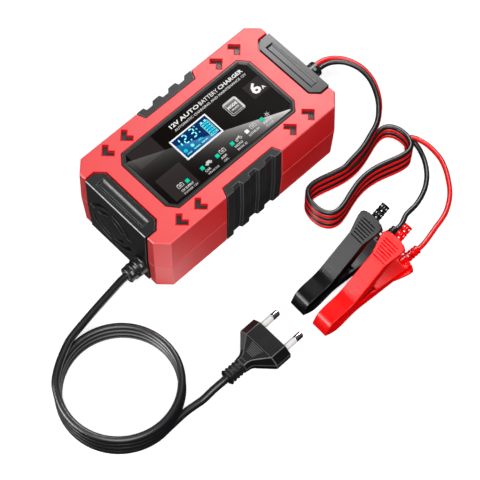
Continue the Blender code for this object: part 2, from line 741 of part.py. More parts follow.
def fan_blade(name, angle):
    """A thin twisted blade from inside the hub out to the rim."""
    rings = []
    for radius, sweep, pitch in ((7.5, 0.0, 50.0), (12.5, 0.12, 40.0), (17.9, 0.3, 32.0)):
        a = angle + sweep
        out = Vector((0, cos(a), sin(a)))
        across = Vector((0, -sin(a), cos(a)))
        chord = Vector((cos(radians(pitch)), 0, 0)) + sin(radians(pitch)) * across
        normal = chord.cross(out).normalized()
        middle = Vector((3.3, 0, 0)) + radius * out
        half = 2.9 if radius > 8 else 2.4
        ring = []
        for along, thick in ((-half, 0.3), (half, 0.3), (half, -0.3), (-half, -0.3)):
            ring.append(middle + along * chord.normalized() + thick * normal)
        rings.append(ring)
    return loft(name, rings)


# ---------------------------------------------------------------- boots and plug
def boot_profile(start, length, r0, r1, ribs, bore):
    """Outline of a ribbed strain relief, from its root to its end and back through its bore."""
    pitch = length / ribs
    profile = []
    for k in range(ribs):
        radius = r0 + (r1 - r0) * k / max(1, ribs - 1)
        x = start + k * pitch
        profile += [(x, radius), (x + 0.58 * pitch, radius)]
        if k < ribs - 1:
            profile += [(x + 0.58 * pitch, radius - 1.1), (x + pitch, radius - 1.1)]
    end = start + length - 0.42 * pitch
    return profile + [(end, bore), (start, bore)]


def mains_boot():
    y, z = MAINS_EXIT
    bore = MAINS_CORD / 2 + 0.35
    outside = boot_profile(73.6, 14.5, 5.1, 4.6, 4, bore)
    neck = [(66.2, 4.6), (67.8, 4.6), (67.8, 3.3), (73.6, 3.3)]
    profile = neck + outside[:-1] + [(66.2, bore)]
    look = material("boot_rubber", (0.012, 0.012, 0.012), 0.5)
    round_solid("mains_boot", profile, 12, along_x(0, y, z, -1), look, bored=True)


def dc_boot():
    y, z = DC_EXIT
    profile = [(66.2, 5.0), (67.8, 5.0), (67.8, 3.6), (73.6, 3.6)]
    profile += boot_profile(73.6, 16.5, 5.4, 4.9, 4, 1.0)[:-2]
    boot = round_solid("dc_boot", profile, 12, along_x(0, y, z),
                       material("boot_rubber", (0.012, 0.012, 0.012), 0.5))
    half_y, half_z = BUNDLE_PITCH / 4 + DC_CORD / 2 + 0.35, DC_CORD / 2 + 0.35
    cut(boot, box("cut_dc_boot", (60.0, y - half_y, z - half_z), (95.0, y + half_y, z + half_z)))


def plug_section(x, half_y, half_z, top_y):
    """Eight-sided section of the flat plug: wide at mid-height, narrower on its two faces."""
    px, py, pz = PLUG_AT
    side = half_z * 0.36
    quarter = [(half_y, side), (top_y, half_z)]
    left = [(-y, z) for y, z in reversed(quarter)]
    outline = quarter + left + [(-y, -z) for y, z in quarter] + [(-y, -z) for y, z in left]
    return [(px + x, py + y, pz + z) for y, z in outline]


def mains_plug():
    sections = ((-36.0, 4.4, 4.4, 2.0), (-22.0, 4.9, 4.6, 2.4), (-20.4, 5.4, 5.0, 3.4),
                (-18.6, 6.6, 5.6, 4.2), (-10.8, 15.2, 6.1, 10.2), (-0.6, 15.3, 6.1, 10.3),
                (0.0, 14.8, 5.7, 9.9))
    body = loft("mains_plug", [plug_section(*s) for s in sections],
                material("plug_black", (0.012, 0.012, 0.013), 0.35))
    px, py, pz = PLUG_AT
    for k in range(5):
        x = px - 34.4 + 2.5 * k
        groove = [(x, 3.9), (x, 9.0), (x + 1.1, 9.0), (x + 1.1, 3.9)]
        place = Matrix.Translation((0, py, pz))
        cut(body, round_solid(f"cut_plug_groove_{k}", groove, 8, place, bored=True))
    bore = round_solid("cut_plug_bore", [(-40.0, 2.75), (-27.0, 2.75)], 10, along_x(px, py, pz))
    cut(body, bore)
    for k, side in enumerate((1, -1)):
        y = py + side * PIN_PITCH / 2
        cut(body, round_solid(f"cut_pin_{k}", [(-8.3, 2.3), (2.0, 2.3)], 12, along_x(px, y, pz)))
        steps = [(-8.0, PIN_RADIUS), (0.6, PIN_RADIUS), (0.6, 1.45), (8.8, 1.45), (8.8, PIN_RADIUS),
                 (PIN_LENGTH - 1.0, PIN_RADIUS), (PIN_LENGTH, PIN_RADIUS - 1.0)]
        round_solid(f"plug_pin_{k + 1}", steps, 12, along_x(px, y, pz), bright_steel())
        sleeve = [(0.8, 1.55), (0.8, 1.95), (8.6, 1.95), (8.6, 1.55)]
        round_solid(f"pin_sleeve_{k + 1}", sleeve, 12, along_x(px, y, pz),
                    material("sleeve_white", (0.85, 0.85, 0.83), 0.4), bored=True)


def cords():
    tube("mains_cord", mains_path(), MAINS_CORD / 2, 6, gloss_black())
    black, red = lead_paths()
    tube("negative_lead", black, DC_CORD / 2, 5, gloss_black())
    tube("positive_lead", red, DC_CORD / 2, 5, gloss_red())


# ---------------------------------------------------------------- clamps
# A clamp's own frame has its origin at the pivot, X towards the handles, Y across the
# clamp along the pivot pin, and Z from the middle plane towards the upper handle.
def handle_top(s):
    """Height of a handle's outer face above the middle plane, s from the jaws' tip."""
    bend_s, bend_t = 24.0, 6.4
    if s >= bend_s:
        return bend_t + (s - bend_s) * tan(radians(CLAMP_HALF_ANGLE))
    knots = [(0.0, 0.9), (0.8, 3.0), (2.2, 4.8), (4.4, 6.3), (7.5, 7.2), (11.5, 7.2), (18.5, 6.3),
             (bend_s, bend_t)]
    for (s0, t0), (s1, t1) in zip(knots, knots[1:]):
        if s <= s1:
            return t0 + (t1 - t0) * (s - s0) / (s1 - s0)


def clamp_tilt():
    """The clamp's middle plane leans so that one handle's nose and tail touch the floor."""
    return atan2(handle_top(CLAMP_LENGTH) - 7.2, CLAMP_LENGTH - 7.5)


def clamp_matrix(colour):
    tilt = clamp_tilt()
    tip_x, tip_y = CLAMP_TIPS[colour]
    rise = 7.2 * cos(tilt) - 7.5 * sin(tilt) + 0.1
    turn = Matrix.Rotation(radians(CLAMP_HEADING), 4, "Z") @ Matrix.Rotation(-tilt, 4, "Y")
    return Matrix.Translation((tip_x, tip_y, rise)) @ turn @ Matrix.Translation((CLAMP_PIVOT, 0, 0))


def boot_frame(side):
    """A handle's cable boot: root, and direction, in the clamp's frame."""
    root = Matrix.Translation((CLAMP_LENGTH - 1.4 - CLAMP_PIVOT, 0, side * 19.9))
    return root @ Matrix.Rotation(-side * radians(16.0), 4, "Y")


def channel_ring(s, half_w, top, roof, edge, wall):
    """A U-shaped section, open towards the middle plane."""
    x = s - CLAMP_PIVOT
    inner = half_w - wall
    return [(x, -half_w, edge), (x, -half_w, top), (x, half_w, top), (x, half_w, edge),
            (x, inner, edge), (x, inner, roof), (x, -inner, roof), (x, -inner, edge)]


def handle_rings():
    """(s, edge, half-width) along the handle; the roof follows the outer face."""
    w = CLAMP_HALF_WIDTH
    stations = [(0.0, 0.15, w - 0.4, 0.3), (0.8, 0.15, w - 0.35, 1.9), (2.2, 0.15, w - 0.3, 2.3),
                (4.4, 0.3, w - 0.2, 1.8), (7.5, 1.0, w - 0.1, 1.5), (11.5, 1.7, w, 1.4),
                (18.5, 0.35, w, 1.4), (24.0, 0.35, w, 1.4), (30.0, 2.9, w, 1.5), (36.0, 3.6, w, 1.5),
                (51.0, 11.0, w - 0.1, 1.5), (52.5, 11.8, w + 0.2, 1.5),
                (57.0, 14.3, 7.2, 1.5), (62.0, 17.2, 8.3, 1.5), (63.3, 17.6, 8.2, 3.0)]
    rings = []
    for s, edge, half_w, skin in stations:
        top = handle_top(s)
        roof = max(edge + 0.1, top - skin)
        rings.append(channel_ring(s, half_w, top, roof, edge, 1.3))
    for k in range(1, 4):                       # the rounded end of the handle
        a = pi / 2 * k / 4
        s = 63.3 + (CLAMP_LENGTH - 63.3) * sin(a)
        top = handle_top(s)
        rings.append(channel_ring(s, 8.2 * cos(a) ** 0.7, top, 18.0, 17.6 + 0.1 * k, 1.3))
    return rings


def flipped(rings, side):
    """The upper handle's rings as they are, or turned over for the lower one."""
    if side > 0:
        return rings
    return [[(x, -y, -z) for x, y, z in ring] for ring in rings]


def handle(colour, side, parent, look):
    name = f"{colour}_{'upper' if side > 0 else 'lower'}_handle"
    made = loft(name, flipped(handle_rings(), side), look, parent)
    bore = DC_CORD / 2 + 0.35
    pitch = 2.7
    profile = [(-2.0, 2.0)]
    for k in range(4):
        profile += [(0.4 + k * pitch, 2.9), (2.1 + k * pitch, 2.9)]
        if k < 3:
            profile += [(2.1 + k * pitch, 2.3), (0.4 + (k + 1) * pitch, 2.3)]
    weld(made, round_solid(f"add_boot_{name}", profile, 8, boot_frame(side), parent=parent))
    cut(made, round_solid(f"cut_boot_{name}", [(4.6, bore), (15.0, bore)], 8, boot_frame(side),
                          parent=parent))
    return made


def jaw_rings(half_w):
    """A folded steel jaw: toothed at the tip, with ears around the pivot."""
    sheet = 0.7
    rings = []
    teeth = [(2.4 + 1.1 * k, 0.2 if k % 2 == 0 else 1.0) for k in range(11)]
    ears = [(14.6, 2.1), (24.0, 1.2), (28.6, -1.4), (30.4, -2.9), (33.6, -2.9), (35.4, -1.4),
            (38.5, 4.6)]
    for s, edge in teeth + ears:
        skin = 2.9 if s < 3.0 else 2.3 if s < 5.2 else 2.1
        top = min(handle_top(s) - skin, handle_top(38.5) - 2.1)
        roof = max(edge + 0.2, top - sheet)
        rings.append(channel_ring(s, half_w, top, roof, edge, sheet))
    return rings


def jaw(colour, side, parent):
    name = f"{colour}_{'upper' if side > 0 else 'lower'}_jaw"
    half_w = 2.85 if side > 0 else 3.85
    made = loft(name, flipped(jaw_rings(half_w), side), bright_steel(), parent)
    cut(made, round_solid(f"cut_{name}", [(-8.0, 1.7), (8.0, 1.7)], 12, along_y(0, 0, 0),
                          parent=parent))


def pivot_pin(colour, parent):
    profile = [(-5.1, 2.0), (-4.4, 2.3), (-4.4, 1.35), (4.4, 1.35), (4.4, 2.3), (5.1, 2.0)]
    round_solid(f"{colour}_pivot_pin", profile, 12, along_y(0, 0, 0), bright_steel(), parent)


def torsion_spring(colour, parent):
    """Turns round the pin, and two legs that splay towards the two handles."""
    radius, wire, pitch, leg = 2.75, 0.45, 1.15, 3.5
    first, last = radians(125), radians(955)
    width = pitch * (last - first) / (2 * pi)
    count = 24
    coil = []
    for k in range(count + 1):
        a = first + (last - first) * k / count
        coil.append(Vector((radius * cos(a), width * (k / count - 0.5), radius * sin(a))))
    start = coil[0] + leg * Vector((sin(first), 0, -cos(first)))
    end = coil[-1] + leg * Vector((-sin(last), 0, cos(last)))
    tube(f"{colour}_spring", [start] + coil + [end], wire, 5, bright_steel(), parent)


def clamp(colour, look):
    pivot = bpy.data.objects.new(f"{colour}_clamp_pivot", None)
    bpy.context.collection.objects.link(pivot)
    frame = clamp_matrix(colour)
    pivot.location = frame.translation * MM
    pivot.rotation_euler = frame.to_euler()
    for side in (1, -1):
        handle(colour, side, pivot, look)
        jaw(colour, side, pivot)
    pivot_pin(colour, pivot)
    torsion_spring(colour, pivot)


# ---------------------------------------------------------------- assembly
def build():
    clear_scene()
    top_cover()
    bottom_cover()
    case_screws()
    rubber_feet()
    ac_end_cap()
    dc_end_cap()
    side_grip("side_grip_front", -1)
    side_grip("side_grip_rear", 1)
    front_bezel()
    display_panel()
    lcd()
    mode_button()
    indicator_leds()
    display_board()
    main_board()
    transformer()
    capacitors()
    heatsink()
    choke_and_fuse()
    fan_frame()
    fan_rotor()
    mains_boot()
    dc_boot()
    mains_plug()
    cords()
    clamp("black", gloss_black())
    clamp("red", gloss_red())


build()
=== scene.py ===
"""Looks of the 12 V car battery charger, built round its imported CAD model.

Points are in millimetres in the CAD's frame (+X to the clamp-lead end, +Z up) and become
metres when a mesh is made.  Pieces that need finer form than the CAD's replace its nodes;
the other nodes stay and get rounded edges and a procedural material.
"""
import json
from math import cos, pi, radians, sin, sqrt

import bmesh
import bpy
from mathutils import Matrix, Vector

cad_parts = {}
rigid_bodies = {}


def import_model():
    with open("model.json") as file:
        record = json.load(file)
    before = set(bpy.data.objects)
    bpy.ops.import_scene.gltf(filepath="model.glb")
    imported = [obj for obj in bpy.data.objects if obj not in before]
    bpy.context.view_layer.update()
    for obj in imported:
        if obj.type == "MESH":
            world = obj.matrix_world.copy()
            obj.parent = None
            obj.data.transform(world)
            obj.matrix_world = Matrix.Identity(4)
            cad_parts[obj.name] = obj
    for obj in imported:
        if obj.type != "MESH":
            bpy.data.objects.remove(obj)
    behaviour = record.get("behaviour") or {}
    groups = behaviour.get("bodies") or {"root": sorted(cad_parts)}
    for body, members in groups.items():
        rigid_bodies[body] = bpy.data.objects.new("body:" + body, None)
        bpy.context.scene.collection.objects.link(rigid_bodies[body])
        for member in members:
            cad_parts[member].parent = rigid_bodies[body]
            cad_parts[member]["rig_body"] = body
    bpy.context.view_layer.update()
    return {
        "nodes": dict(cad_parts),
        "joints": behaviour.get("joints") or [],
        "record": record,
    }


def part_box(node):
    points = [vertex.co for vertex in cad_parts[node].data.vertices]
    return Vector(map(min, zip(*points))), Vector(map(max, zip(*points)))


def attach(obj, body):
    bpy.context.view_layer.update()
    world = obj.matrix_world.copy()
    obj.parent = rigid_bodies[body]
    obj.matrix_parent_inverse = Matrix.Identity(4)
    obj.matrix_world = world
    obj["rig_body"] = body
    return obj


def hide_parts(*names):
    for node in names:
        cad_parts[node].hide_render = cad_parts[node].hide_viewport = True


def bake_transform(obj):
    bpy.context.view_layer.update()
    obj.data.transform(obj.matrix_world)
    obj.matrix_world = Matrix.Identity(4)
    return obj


for old in list(bpy.data.objects):
    bpy.data.objects.remove(old, do_unlink=True)
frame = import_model()

MM = 0.001
NODES = frame["nodes"]


def box_mm(node):
    """The low and the high corner of a CAD node's box, in millimetres."""
    return [Vector(corner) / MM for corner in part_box(node)]


# Panel artwork and the painted reflection across it, millimetres from the middle of the panel
PRINT_Z = 53.2                # the panel's and the display window's top face
PRINT_THICKNESS = 0.05
LCD_BORDER = 0.95
SHEEN_AT = (7.2, -5.0)        # a point on the sheen's upper edge
SHEEN_SLOPE = -0.4235
PATCHES = ((34.8, -2.2, 47.2, 8.6), (-44.4, 8.8, -25.9, 21.5), (-44.2, -20.4, -25.7, -2.2))
BUTTON_AT = (22.8, 2.9)

PLUG_AT = (-48.6, -103.4, 6.2)     # middle of the plug's front face
PIN_PITCH = 19.0
MAINS_EXIT = (-20.9, 17.2)         # where each cord leaves its end cap, across and up
DC_EXIT = (-1.0, 28.5)
LEAD_BORE = (3.5, 1.9)             # half sizes of the hole for the two leads

CLAMP_LENGTH = 66.5
CLAMP_PIVOT = 32.0                 # from the tip of the jaws to the pivot

FLOOR_PALE = (0.42, 0.42, 0.42)
FLOOR_GLOW = 0.62
WORLD_LEVELS = (0.18, 0.07)   # what surfaces are lit by, and what they mirror
POOL_AT = (-88.0, -62.0)
POOL_SIZE = 26.0
POOL_LEVEL = 2.7

CAMERA_TARGET = (-15.9, -42.7, 0.0)
CAMERA_AZIMUTH = -44.03
CAMERA_ELEVATION = 62.41
CAMERA_DISTANCE = 1117.2
CAMERA_LENS = 141.98
CAMERA_ROLL = 0.22


# ------------------------------------------------------------------ materials
class Shader:
    """A Principled material and short calls to wire procedural nodes into it."""

    def __init__(self, name):
        self.material = bpy.data.materials.new(name)
        self.material.use_nodes = True
        self.tree = self.material.node_tree
        self.main = self.tree.nodes["Principled BSDF"]
        self.place = self.node("ShaderNodeTexCoord").outputs["Object"]

    def node(self, kind, **settings):
        made = self.tree.nodes.new(kind)
        for key, value in settings.items():
            setattr(made, key, value)
        return made

    def link(self, source, target):
        if isinstance(source, bpy.types.NodeSocket):
            self.tree.links.new(source, target)
        elif isinstance(source, (tuple, list)) and len(source) == 3 and target.type == "RGBA":
            target.default_value = (*source, 1.0)
        else:
            target.default_value = source

    def noise(self, size_mm, detail=2.0, stretch=(1.0, 1.0, 1.0)):
        mapping = self.node("ShaderNodeMapping")
        mapping.inputs["Scale"].default_value = [1000.0 * s / size_mm for s in stretch]
        self.link(self.place, mapping.inputs["Vector"])
        made = self.node("ShaderNodeTexNoise")
        made.inputs["Scale"].default_value = 1.0
        made.inputs["Detail"].default_value = detail
        self.link(mapping.outputs["Vector"], made.inputs["Vector"])
        return made.outputs["Fac"]

    def math(self, operation, a, b=0.0, c=0.0):
        made = self.node("ShaderNodeMath", operation=operation)
        for socket, value in zip(made.inputs, (a, b, c)):
            self.link(value, socket)
        return made.outputs[0]

    def plus(self, a, b):
        return self.math("ADD", a, b)

    def minus(self, a, b):
        return self.math("SUBTRACT", a, b)

    def times(self, a, b):
        return self.math("MULTIPLY", a, b)

    def clouded(self, fine, cloud_mm):
        """Fine noise with broad clouds under it."""
        return self.plus(self.times(fine, 0.6), self.times(self.noise(cloud_mm, 3.0), 0.4))

    def spread(self, value, low, high, to_low=0.0, to_high=1.0, smooth=False):
        made = self.node("ShaderNodeMapRange")
        made.interpolation_type = "SMOOTHSTEP" if smooth else "LINEAR"
        for key, number in zip(("Value", "From Min", "From Max", "To Min", "To Max"),
                               (value, low, high, to_low, to_high)):
            self.link(number, made.inputs[key])
        return made.outputs["Result"]

    def mix(self, share, a, b):
        made = self.node("ShaderNodeMix", data_type="RGBA")
        self.link(share, made.inputs["Factor"])
        self.link(a, made.inputs[6])
        self.link(b, made.inputs[7])
        return made.outputs[2]

    def axis(self, letter):
        """A position along one axis of the CAD's frame, in millimetres."""
        split = self.node("ShaderNodeSeparateXYZ")
        self.link(self.place, split.inputs[0])
        return self.math("MULTIPLY", split.outputs[letter], 1.0 / MM)

    def edges(self, radius_mm):
        """Near 1 where the surface turns sharply, 0 on flats."""
        rounded = self.node("ShaderNodeBevel", samples=4)
        rounded.inputs["Radius"].default_value = radius_mm * MM
        flat = self.node("ShaderNodeNewGeometry")
        dot = self.node("ShaderNodeVectorMath", operation="DOT_PRODUCT")
        self.link(rounded.outputs[0], dot.inputs[0])
        self.link(flat.outputs["Normal"], dot.inputs[1])
        return self.spread(dot.outputs["Value"], 0.99, 0.85)

    def bump(self, height, strength, distance_mm):
        made = self.node("ShaderNodeBump")
        made.inputs["Strength"].default_value = strength
        made.inputs["Distance"].default_value = distance_mm * MM
        self.link(height, made.inputs["Height"])
        self.link(made.outputs["Normal"], self.main.inputs["Normal"])

    def set(self, **inputs):
        for key, value in inputs.items():
            self.link(value, self.main.inputs[key.replace("_", " ")])
        return self.material


def tinted(colour, factor):
    return tuple(min(1.0, c * factor) for c in colour)


def grained(name, colour, roughness, grain_mm=0.5, depth=0.02, shade=0.12, edge=1.3,
            specular=0.5):
    """Moulded plastic or rubber: fine grain in height and tone, paler at edges, partly from wear
    and partly as a painted highlight.
    """
    s = Shader(name)
    fine = s.noise(grain_mm, 3.0)
    both = s.clouded(fine, grain_mm * 40)
    base = s.mix(s.spread(both, 0.35, 0.65), tinted(colour, 1 - shade), tinted(colour, 1 + shade))
    # paler edges: partly wear, partly a painted highlight
    wear_and_highlight = s.edges(0.35)
    body = s.mix(s.times(wear_and_highlight, 0.6), base, tinted(colour, edge))
    rough = s.spread(both, 0.3, 0.7, roughness - 0.05, roughness + 0.05)
    s.bump(fine, 0.35, depth)
    return s.set(Base_Color=body, Roughness=s.plus(rough, s.times(wear_and_highlight, -0.1)),
                 Specular_IOR_Level=specular)


def glossy(name, colour, roughness, wave_mm=3.0, edge=1.6):
    """Polished plastic: faint flow waviness, hairline scuffs and slightly paler edges."""
    s = Shader(name)
    flow = s.noise(wave_mm, 2.0)
    scuff = s.noise(0.25, 2.0, (0.15, 1.0, 1.0))
    base = s.mix(flow, tinted(colour, 0.85), tinted(colour, 1.15))
    body = s.mix(s.times(s.edges(0.3), 0.5), base, tinted(colour, edge))
    rough = s.spread(scuff, 0.45, 0.8, roughness, roughness + 0.12)
    s.bump(flow, 0.12, 0.02)
    return s.set(Base_Color=body, Roughness=rough, Specular_IOR_Level=0.5)


def metal(name, colour, roughness, stretch=(0.05, 1.0, 1.0)):
    """Plated or rolled metal with fine brushing along one direction and faint staining."""
    s = Shader(name)
    lines = s.noise(0.12, 3.0, stretch)
    stain = s.noise(4.0, 4.0)
    base = s.mix(s.spread(stain, 0.3, 0.75), colour, tinted(colour, 0.72))
    rough = s.plus(s.spread(lines, 0.3, 0.7, roughness - 0.06, roughness + 0.08),
                   s.spread(stain, 0.4, 0.8, 0.0, 0.08))
    s.bump(lines, 0.3, 0.01)
    return s.set(Base_Color=base, Metallic=1.0, Roughness=rough)


def outside_share(s):
    """1 near the case's outline in plan, 0 further in, where the openings are."""
    x, y = s.math("ABSOLUTE", s.axis("X")), s.math("ABSOLUTE", s.axis("Y"))
    corner = s.plus(x, y)
    beyond = s.math("MAXIMUM", s.math("GREATER_THAN", y, 36.6), s.math("GREATER_THAN", x, 71.0))
    return s.math("MAXIMUM", s.math("GREATER_THAN", corner, 102.0), beyond)


def red_shell(name="red_shell", edge_share=0.0):
    """Moulded red plastic: fine grain; round every opening a deep red with little shine, painted
    shade; along the outside a paler red, a painted highlight.
    """
    s = Shader(name)
    fine = s.noise(0.55, 3.0)
    both = s.clouded(fine, 22.0)
    colour = (0.84, 0.007, 0.010)
    base = s.mix(s.spread(both, 0.35, 0.65), tinted(colour, 0.95), tinted(colour, 1.05))
    outside = outside_share(s)
    # painted shade: deeper red and less shine round the openings
    inner = s.times(s.minus(1.0, outside), edge_share or s.spread(s.edges(0.75), 0.05, 0.6))
    # painted highlight: paler red along the case's outside edges
    pale = s.mix(s.noise(0.8), (0.86, 0.06, 0.07), (0.92, 0.15, 0.16))
    rim = s.times(outside, edge_share)
    body = s.mix(rim, s.mix(inner, base, (0.80, 0.001, 0.004)), pale)
    s.bump(fine, 0.35, 0.02)
    shine = s.times(s.minus(1.0, s.times(inner, 0.92)), 0.7)
    return s.set(Base_Color=body, Roughness=s.spread(both, 0.3, 0.7, 0.45, 0.55),
                 Specular_IOR_Level=shine)


def black_shell(name="black_shell", level=0.018, shine=(0.14, 0.50)):
    """Moulded black plastic, shinier to the far side; shine is at the mains and the lead end."""
    s = Shader(name)
    fine = s.noise(0.5, 3.0)
    both = s.clouded(fine, 20.0)
    shades = [(level * k, level * k * 1.02, level * k * 1.05) for k in (0.75, 1.25)]
    body = s.mix(s.spread(both, 0.35, 0.65), *shades)
    # paler edges: partly wear, partly a painted highlight
    wear_and_highlight = s.times(s.edges(0.35), 0.6)
    s.bump(fine, 0.35, 0.02)
    return s.set(Base_Color=s.mix(wear_and_highlight, body, (level * 4.0,) * 3),
                 Roughness=s.spread(both, 0.3, 0.7, 0.32, 0.42),
                 Specular_IOR_Level=s.times(s.spread(s.axis("X"), -72.0, 72.0, *shine),
                                            s.spread(s.axis("Y"), -24.0, 24.0, 0.45, 1.0)))


def painted_edge_highlight(name, level, roughness=0.4):
    """A moulded black edge, a little paler than the faces it divides: a painted highlight, uneven
    in tone.
    """
    s = Shader(name)
    wear_and_highlight = s.spread(s.noise(0.7, 3.0), 0.35, 0.65)
    s.bump(s.noise(0.4, 3.0), 0.2, 0.01)
    return s.set(Base_Color=s.mix(wear_and_highlight, (level * 0.75,) * 3, (level * 1.25,) * 3),
                 Roughness=s.spread(wear_and_highlight, 0.0, 1.0, roughness + 0.05, roughness - 0.05),
                 Specular_IOR_Level=0.5)


def sheen_offset(s, x, y):
    """Distance below the painted sheen's upper edge, which crosses the panel from corner to corner.
    """
    edge = s.math("MULTIPLY_ADD", s.minus(x, SHEEN_AT[0]), SHEEN_SLOPE, SHEEN_AT[1])
    return s.minus(edge, y)


def in_box(s, x, y, low_x, low_y, high_x, high_y):
    across = s.times(s.math("GREATER_THAN", x, low_x), s.math("LESS_THAN", x, high_x))
    along = s.times(s.math("GREATER_THAN", y, low_y), s.math("LESS_THAN", y, high_y))
    return s.times(across, along)


def panel_gloss():
    """Printed gloss black acrylic: grey patches, and a pale wedge narrowing to its near corner, a
    painted reflection.
    """
    s = Shader("panel_gloss")
    x, y = s.axis("X"), s.axis("Y")
    offset = sheen_offset(s, x, y)
    # painted reflection: the wedge's brightness along the panel and its fall below the edge
    along = s.node("ShaderNodeValToRGB")
    s.link(s.spread(x, -48.0, 48.0), along.inputs["Fac"])
    ramp = along.color_ramp
    ramp.elements[0].position, ramp.elements[1].position = 0.0, 1.0
    for element, level in zip(ramp.elements, (0.095, 0.95)):
        element.color = (level, level, level, 1.0)
    for place, level in ((0.26, 0.065), (0.58, 0.26), (0.71, 0.40), (0.80, 0.60), (0.90, 0.72)):
        ramp.elements.new(place).color = (level, level, level, 1.0)
    fall = s.math("POWER", 2.718, s.times(offset, -1.0 / 6.5))
    sheen = s.times(s.times(along.outputs["Color"], fall), s.spread(offset, -0.15, 0.15))
    patch = 0.0
    for corners in PATCHES:
        patch = s.plus(patch, in_box(s, x, y, *corners))
    speck = s.noise(0.6, 2.0)
    black = s.mix(speck, (0.0050, 0.0036, 0.0030), (0.0068, 0.0052, 0.0046))
    black = s.mix(patch, black, s.mix(speck, (0.026, 0.021, 0.020), (0.032, 0.026, 0.025)))
    body = s.mix(sheen, black, (0.96, 0.93, 0.91))
    rough = s.spread(s.noise(1.5, 3.0, (0.3, 1.0, 1.0)), 0.3, 0.8, 0.10, 0.16)
    s.bump(s.noise(6.0, 1.0), 0.05, 0.02)
    return s.set(Base_Color=body, Roughness=rough, Specular_IOR_Level=0.008)


def lcd_look():
    """Pale frame round a blue backlit field, lighter below the line where the panel's sheen crosses
    it: a painted reflection, which glows with the backlight.
    """
    s = Shader("lcd_glass")
    low, high = box_mm("lcd_window")
    middle, half = (low + high) / 2, (high - low) / 2
    x, y = s.axis("X"), s.axis("Y")
    dx = s.minus(half.x, s.math("ABSOLUTE", s.minus(x, middle.x)))
    dy = s.minus(half.y, s.math("ABSOLUTE", s.minus(y, middle.y)))
    rim = s.math("LESS_THAN", s.math("MINIMUM", dx, dy), LCD_BORDER)
    offset = sheen_offset(s, x, y)
    deep = s.mix(s.noise(5.0, 2.0), (0.0010, 0.014, 0.085), (0.0016, 0.030, 0.150))
    # painted reflection: the lighter field below the sheen's line, also fed to the glow
    near = s.mix(s.spread(x, -20.0, 5.0), (0.0015, 0.185, 0.42), (0.11, 0.25, 0.46))
    lit = s.mix(s.spread(offset, 0.0, 9.0), near, (0.0012, 0.070, 0.20))
    field = s.mix(s.spread(offset, -0.3, 0.3), deep, lit)
    dots = s.noise(0.35, 1.0)
    field = s.mix(s.spread(dots, 0.3, 0.7, 0.0, 0.2), field, (0.003, 0.03, 0.12))
    white = s.mix(s.noise(0.8), (0.90, 0.91, 0.92), (0.96, 0.97, 0.97))
    glow = s.times(s.minus(1.0, rim), 0.1)
    return s.set(Base_Color=s.mix(rim, field, white), Emission_Color=field, Emission_Strength=glow,
                 Roughness=0.14, Specular_IOR_Level=0.01)


def button_face():
    """Dark push-button face: a painted highlight on its two far sides and a soft gradient inside, a
    painted reflection.
    """
    s = Shader("button_face")
    x, y = s.axis("X"), s.axis("Y")
    dx = s.minus(x, BUTTON_AT[0])
    dy = s.minus(y, BUTTON_AT[1])
    # painted highlight on the two far sides
    far = s.spread(s.math("MAXIMUM", dx, dy), 3.7, 3.9)
    # painted reflection: a soft gradient, lighter toward +Y
    inner = s.math("POWER", s.spread(dy, 0.6, 4.2), 1.6)
    fog = s.noise(1.6, 2.0)
    dark = s.mix(fog, (0.006, 0.005, 0.005), (0.010, 0.009, 0.009))
    face = s.mix(inner, dark, (0.17, 0.16, 0.16))
    body = s.mix(far, face, s.mix(fog, (0.52, 0.50, 0.50), (0.66, 0.64, 0.63)))
    s.bump(s.noise(0.4), 0.1, 0.01)
    return s.set(Base_Color=body, Roughness=s.spread(fog, 0.3, 0.7, 0.2, 0.3),
                 Specular_IOR_Level=0.15)


def glowing(name, colour, strength):
    """A lit lens or display segment: brighter in places, with a satin surface."""
    s = Shader(name)
    spot = s.noise(0.9, 2.0)
    shade = s.mix(s.spread(spot, 0.3, 0.7), tinted(colour, 0.865), colour)
    return s.set(Base_Color=shade, Emission_Color=shade, Emission_Strength=strength, Roughness=0.3,
                 Specular_IOR_Level=0.02)


def ink(name, colour):
    """Screen-printed ink: slightly uneven cover and a satin surface."""
    s = Shader(name)
    cover = s.noise(0.3, 3.0)
    shade = s.mix(s.spread(cover, 0.35, 0.7), tinted(colour, 0.9), colour)
    s.bump(cover, 0.2, 0.01)
    return s.set(Base_Color=shade, Roughness=s.spread(cover, 0.3, 0.7, 0.42, 0.55))


def board_look():
    """Green circuit board with tracks in the solder mask and pale plated pads."""
    s = Shader("circuit_board")
    cells = s.node("ShaderNodeTexVoronoi", feature="DISTANCE_TO_EDGE")
    scaled = s.node("ShaderNodeMapping")
    scaled.inputs["Scale"].default_value = (160.0, 160.0, 160.0)
    s.link(s.place, scaled.inputs["Vector"])
    s.link(scaled.outputs["Vector"], cells.inputs["Vector"])
    cells.inputs["Scale"].default_value = 1.0
    tracks = s.spread(cells.outputs["Distance"], 0.03, 0.06, 1.0, 0.0)
    mask = s.mix(tracks, (0.008, 0.10, 0.035), (0.02, 0.2, 0.07))
    pads = s.spread(s.noise(2.2, 1.0), 0.74, 0.76)
    s.bump(tracks, 0.4, 0.04)
    return s.set(Base_Color=s.mix(pads, mask, (0.6, 0.55, 0.4)), Roughness=0.38, Metallic=pads)


def copper_look():
    """Enamelled winding: fine wires side by side round the ring."""
    s = Shader("copper_wire")
    x, y = s.axis("X"), s.axis("Y")
    low, high = box_mm("filter_choke")
    middle = (low + high) / 2
    turn = s.math("ARCTAN2", s.minus(y, middle.y), s.minus(x, middle.x))
    wires = s.math("SINE", s.times(turn, 60.0))
    s.bump(wires, 0.6, 0.15)
    body = s.mix(s.spread(wires, -1.0, 1.0), (0.30, 0.09, 0.02), (0.72, 0.30, 0.10))
    return s.set(Base_Color=body, Metallic=1.0,
                 Roughness=s.spread(s.noise(1.0), 0.3, 0.7, 0.25, 0.4))


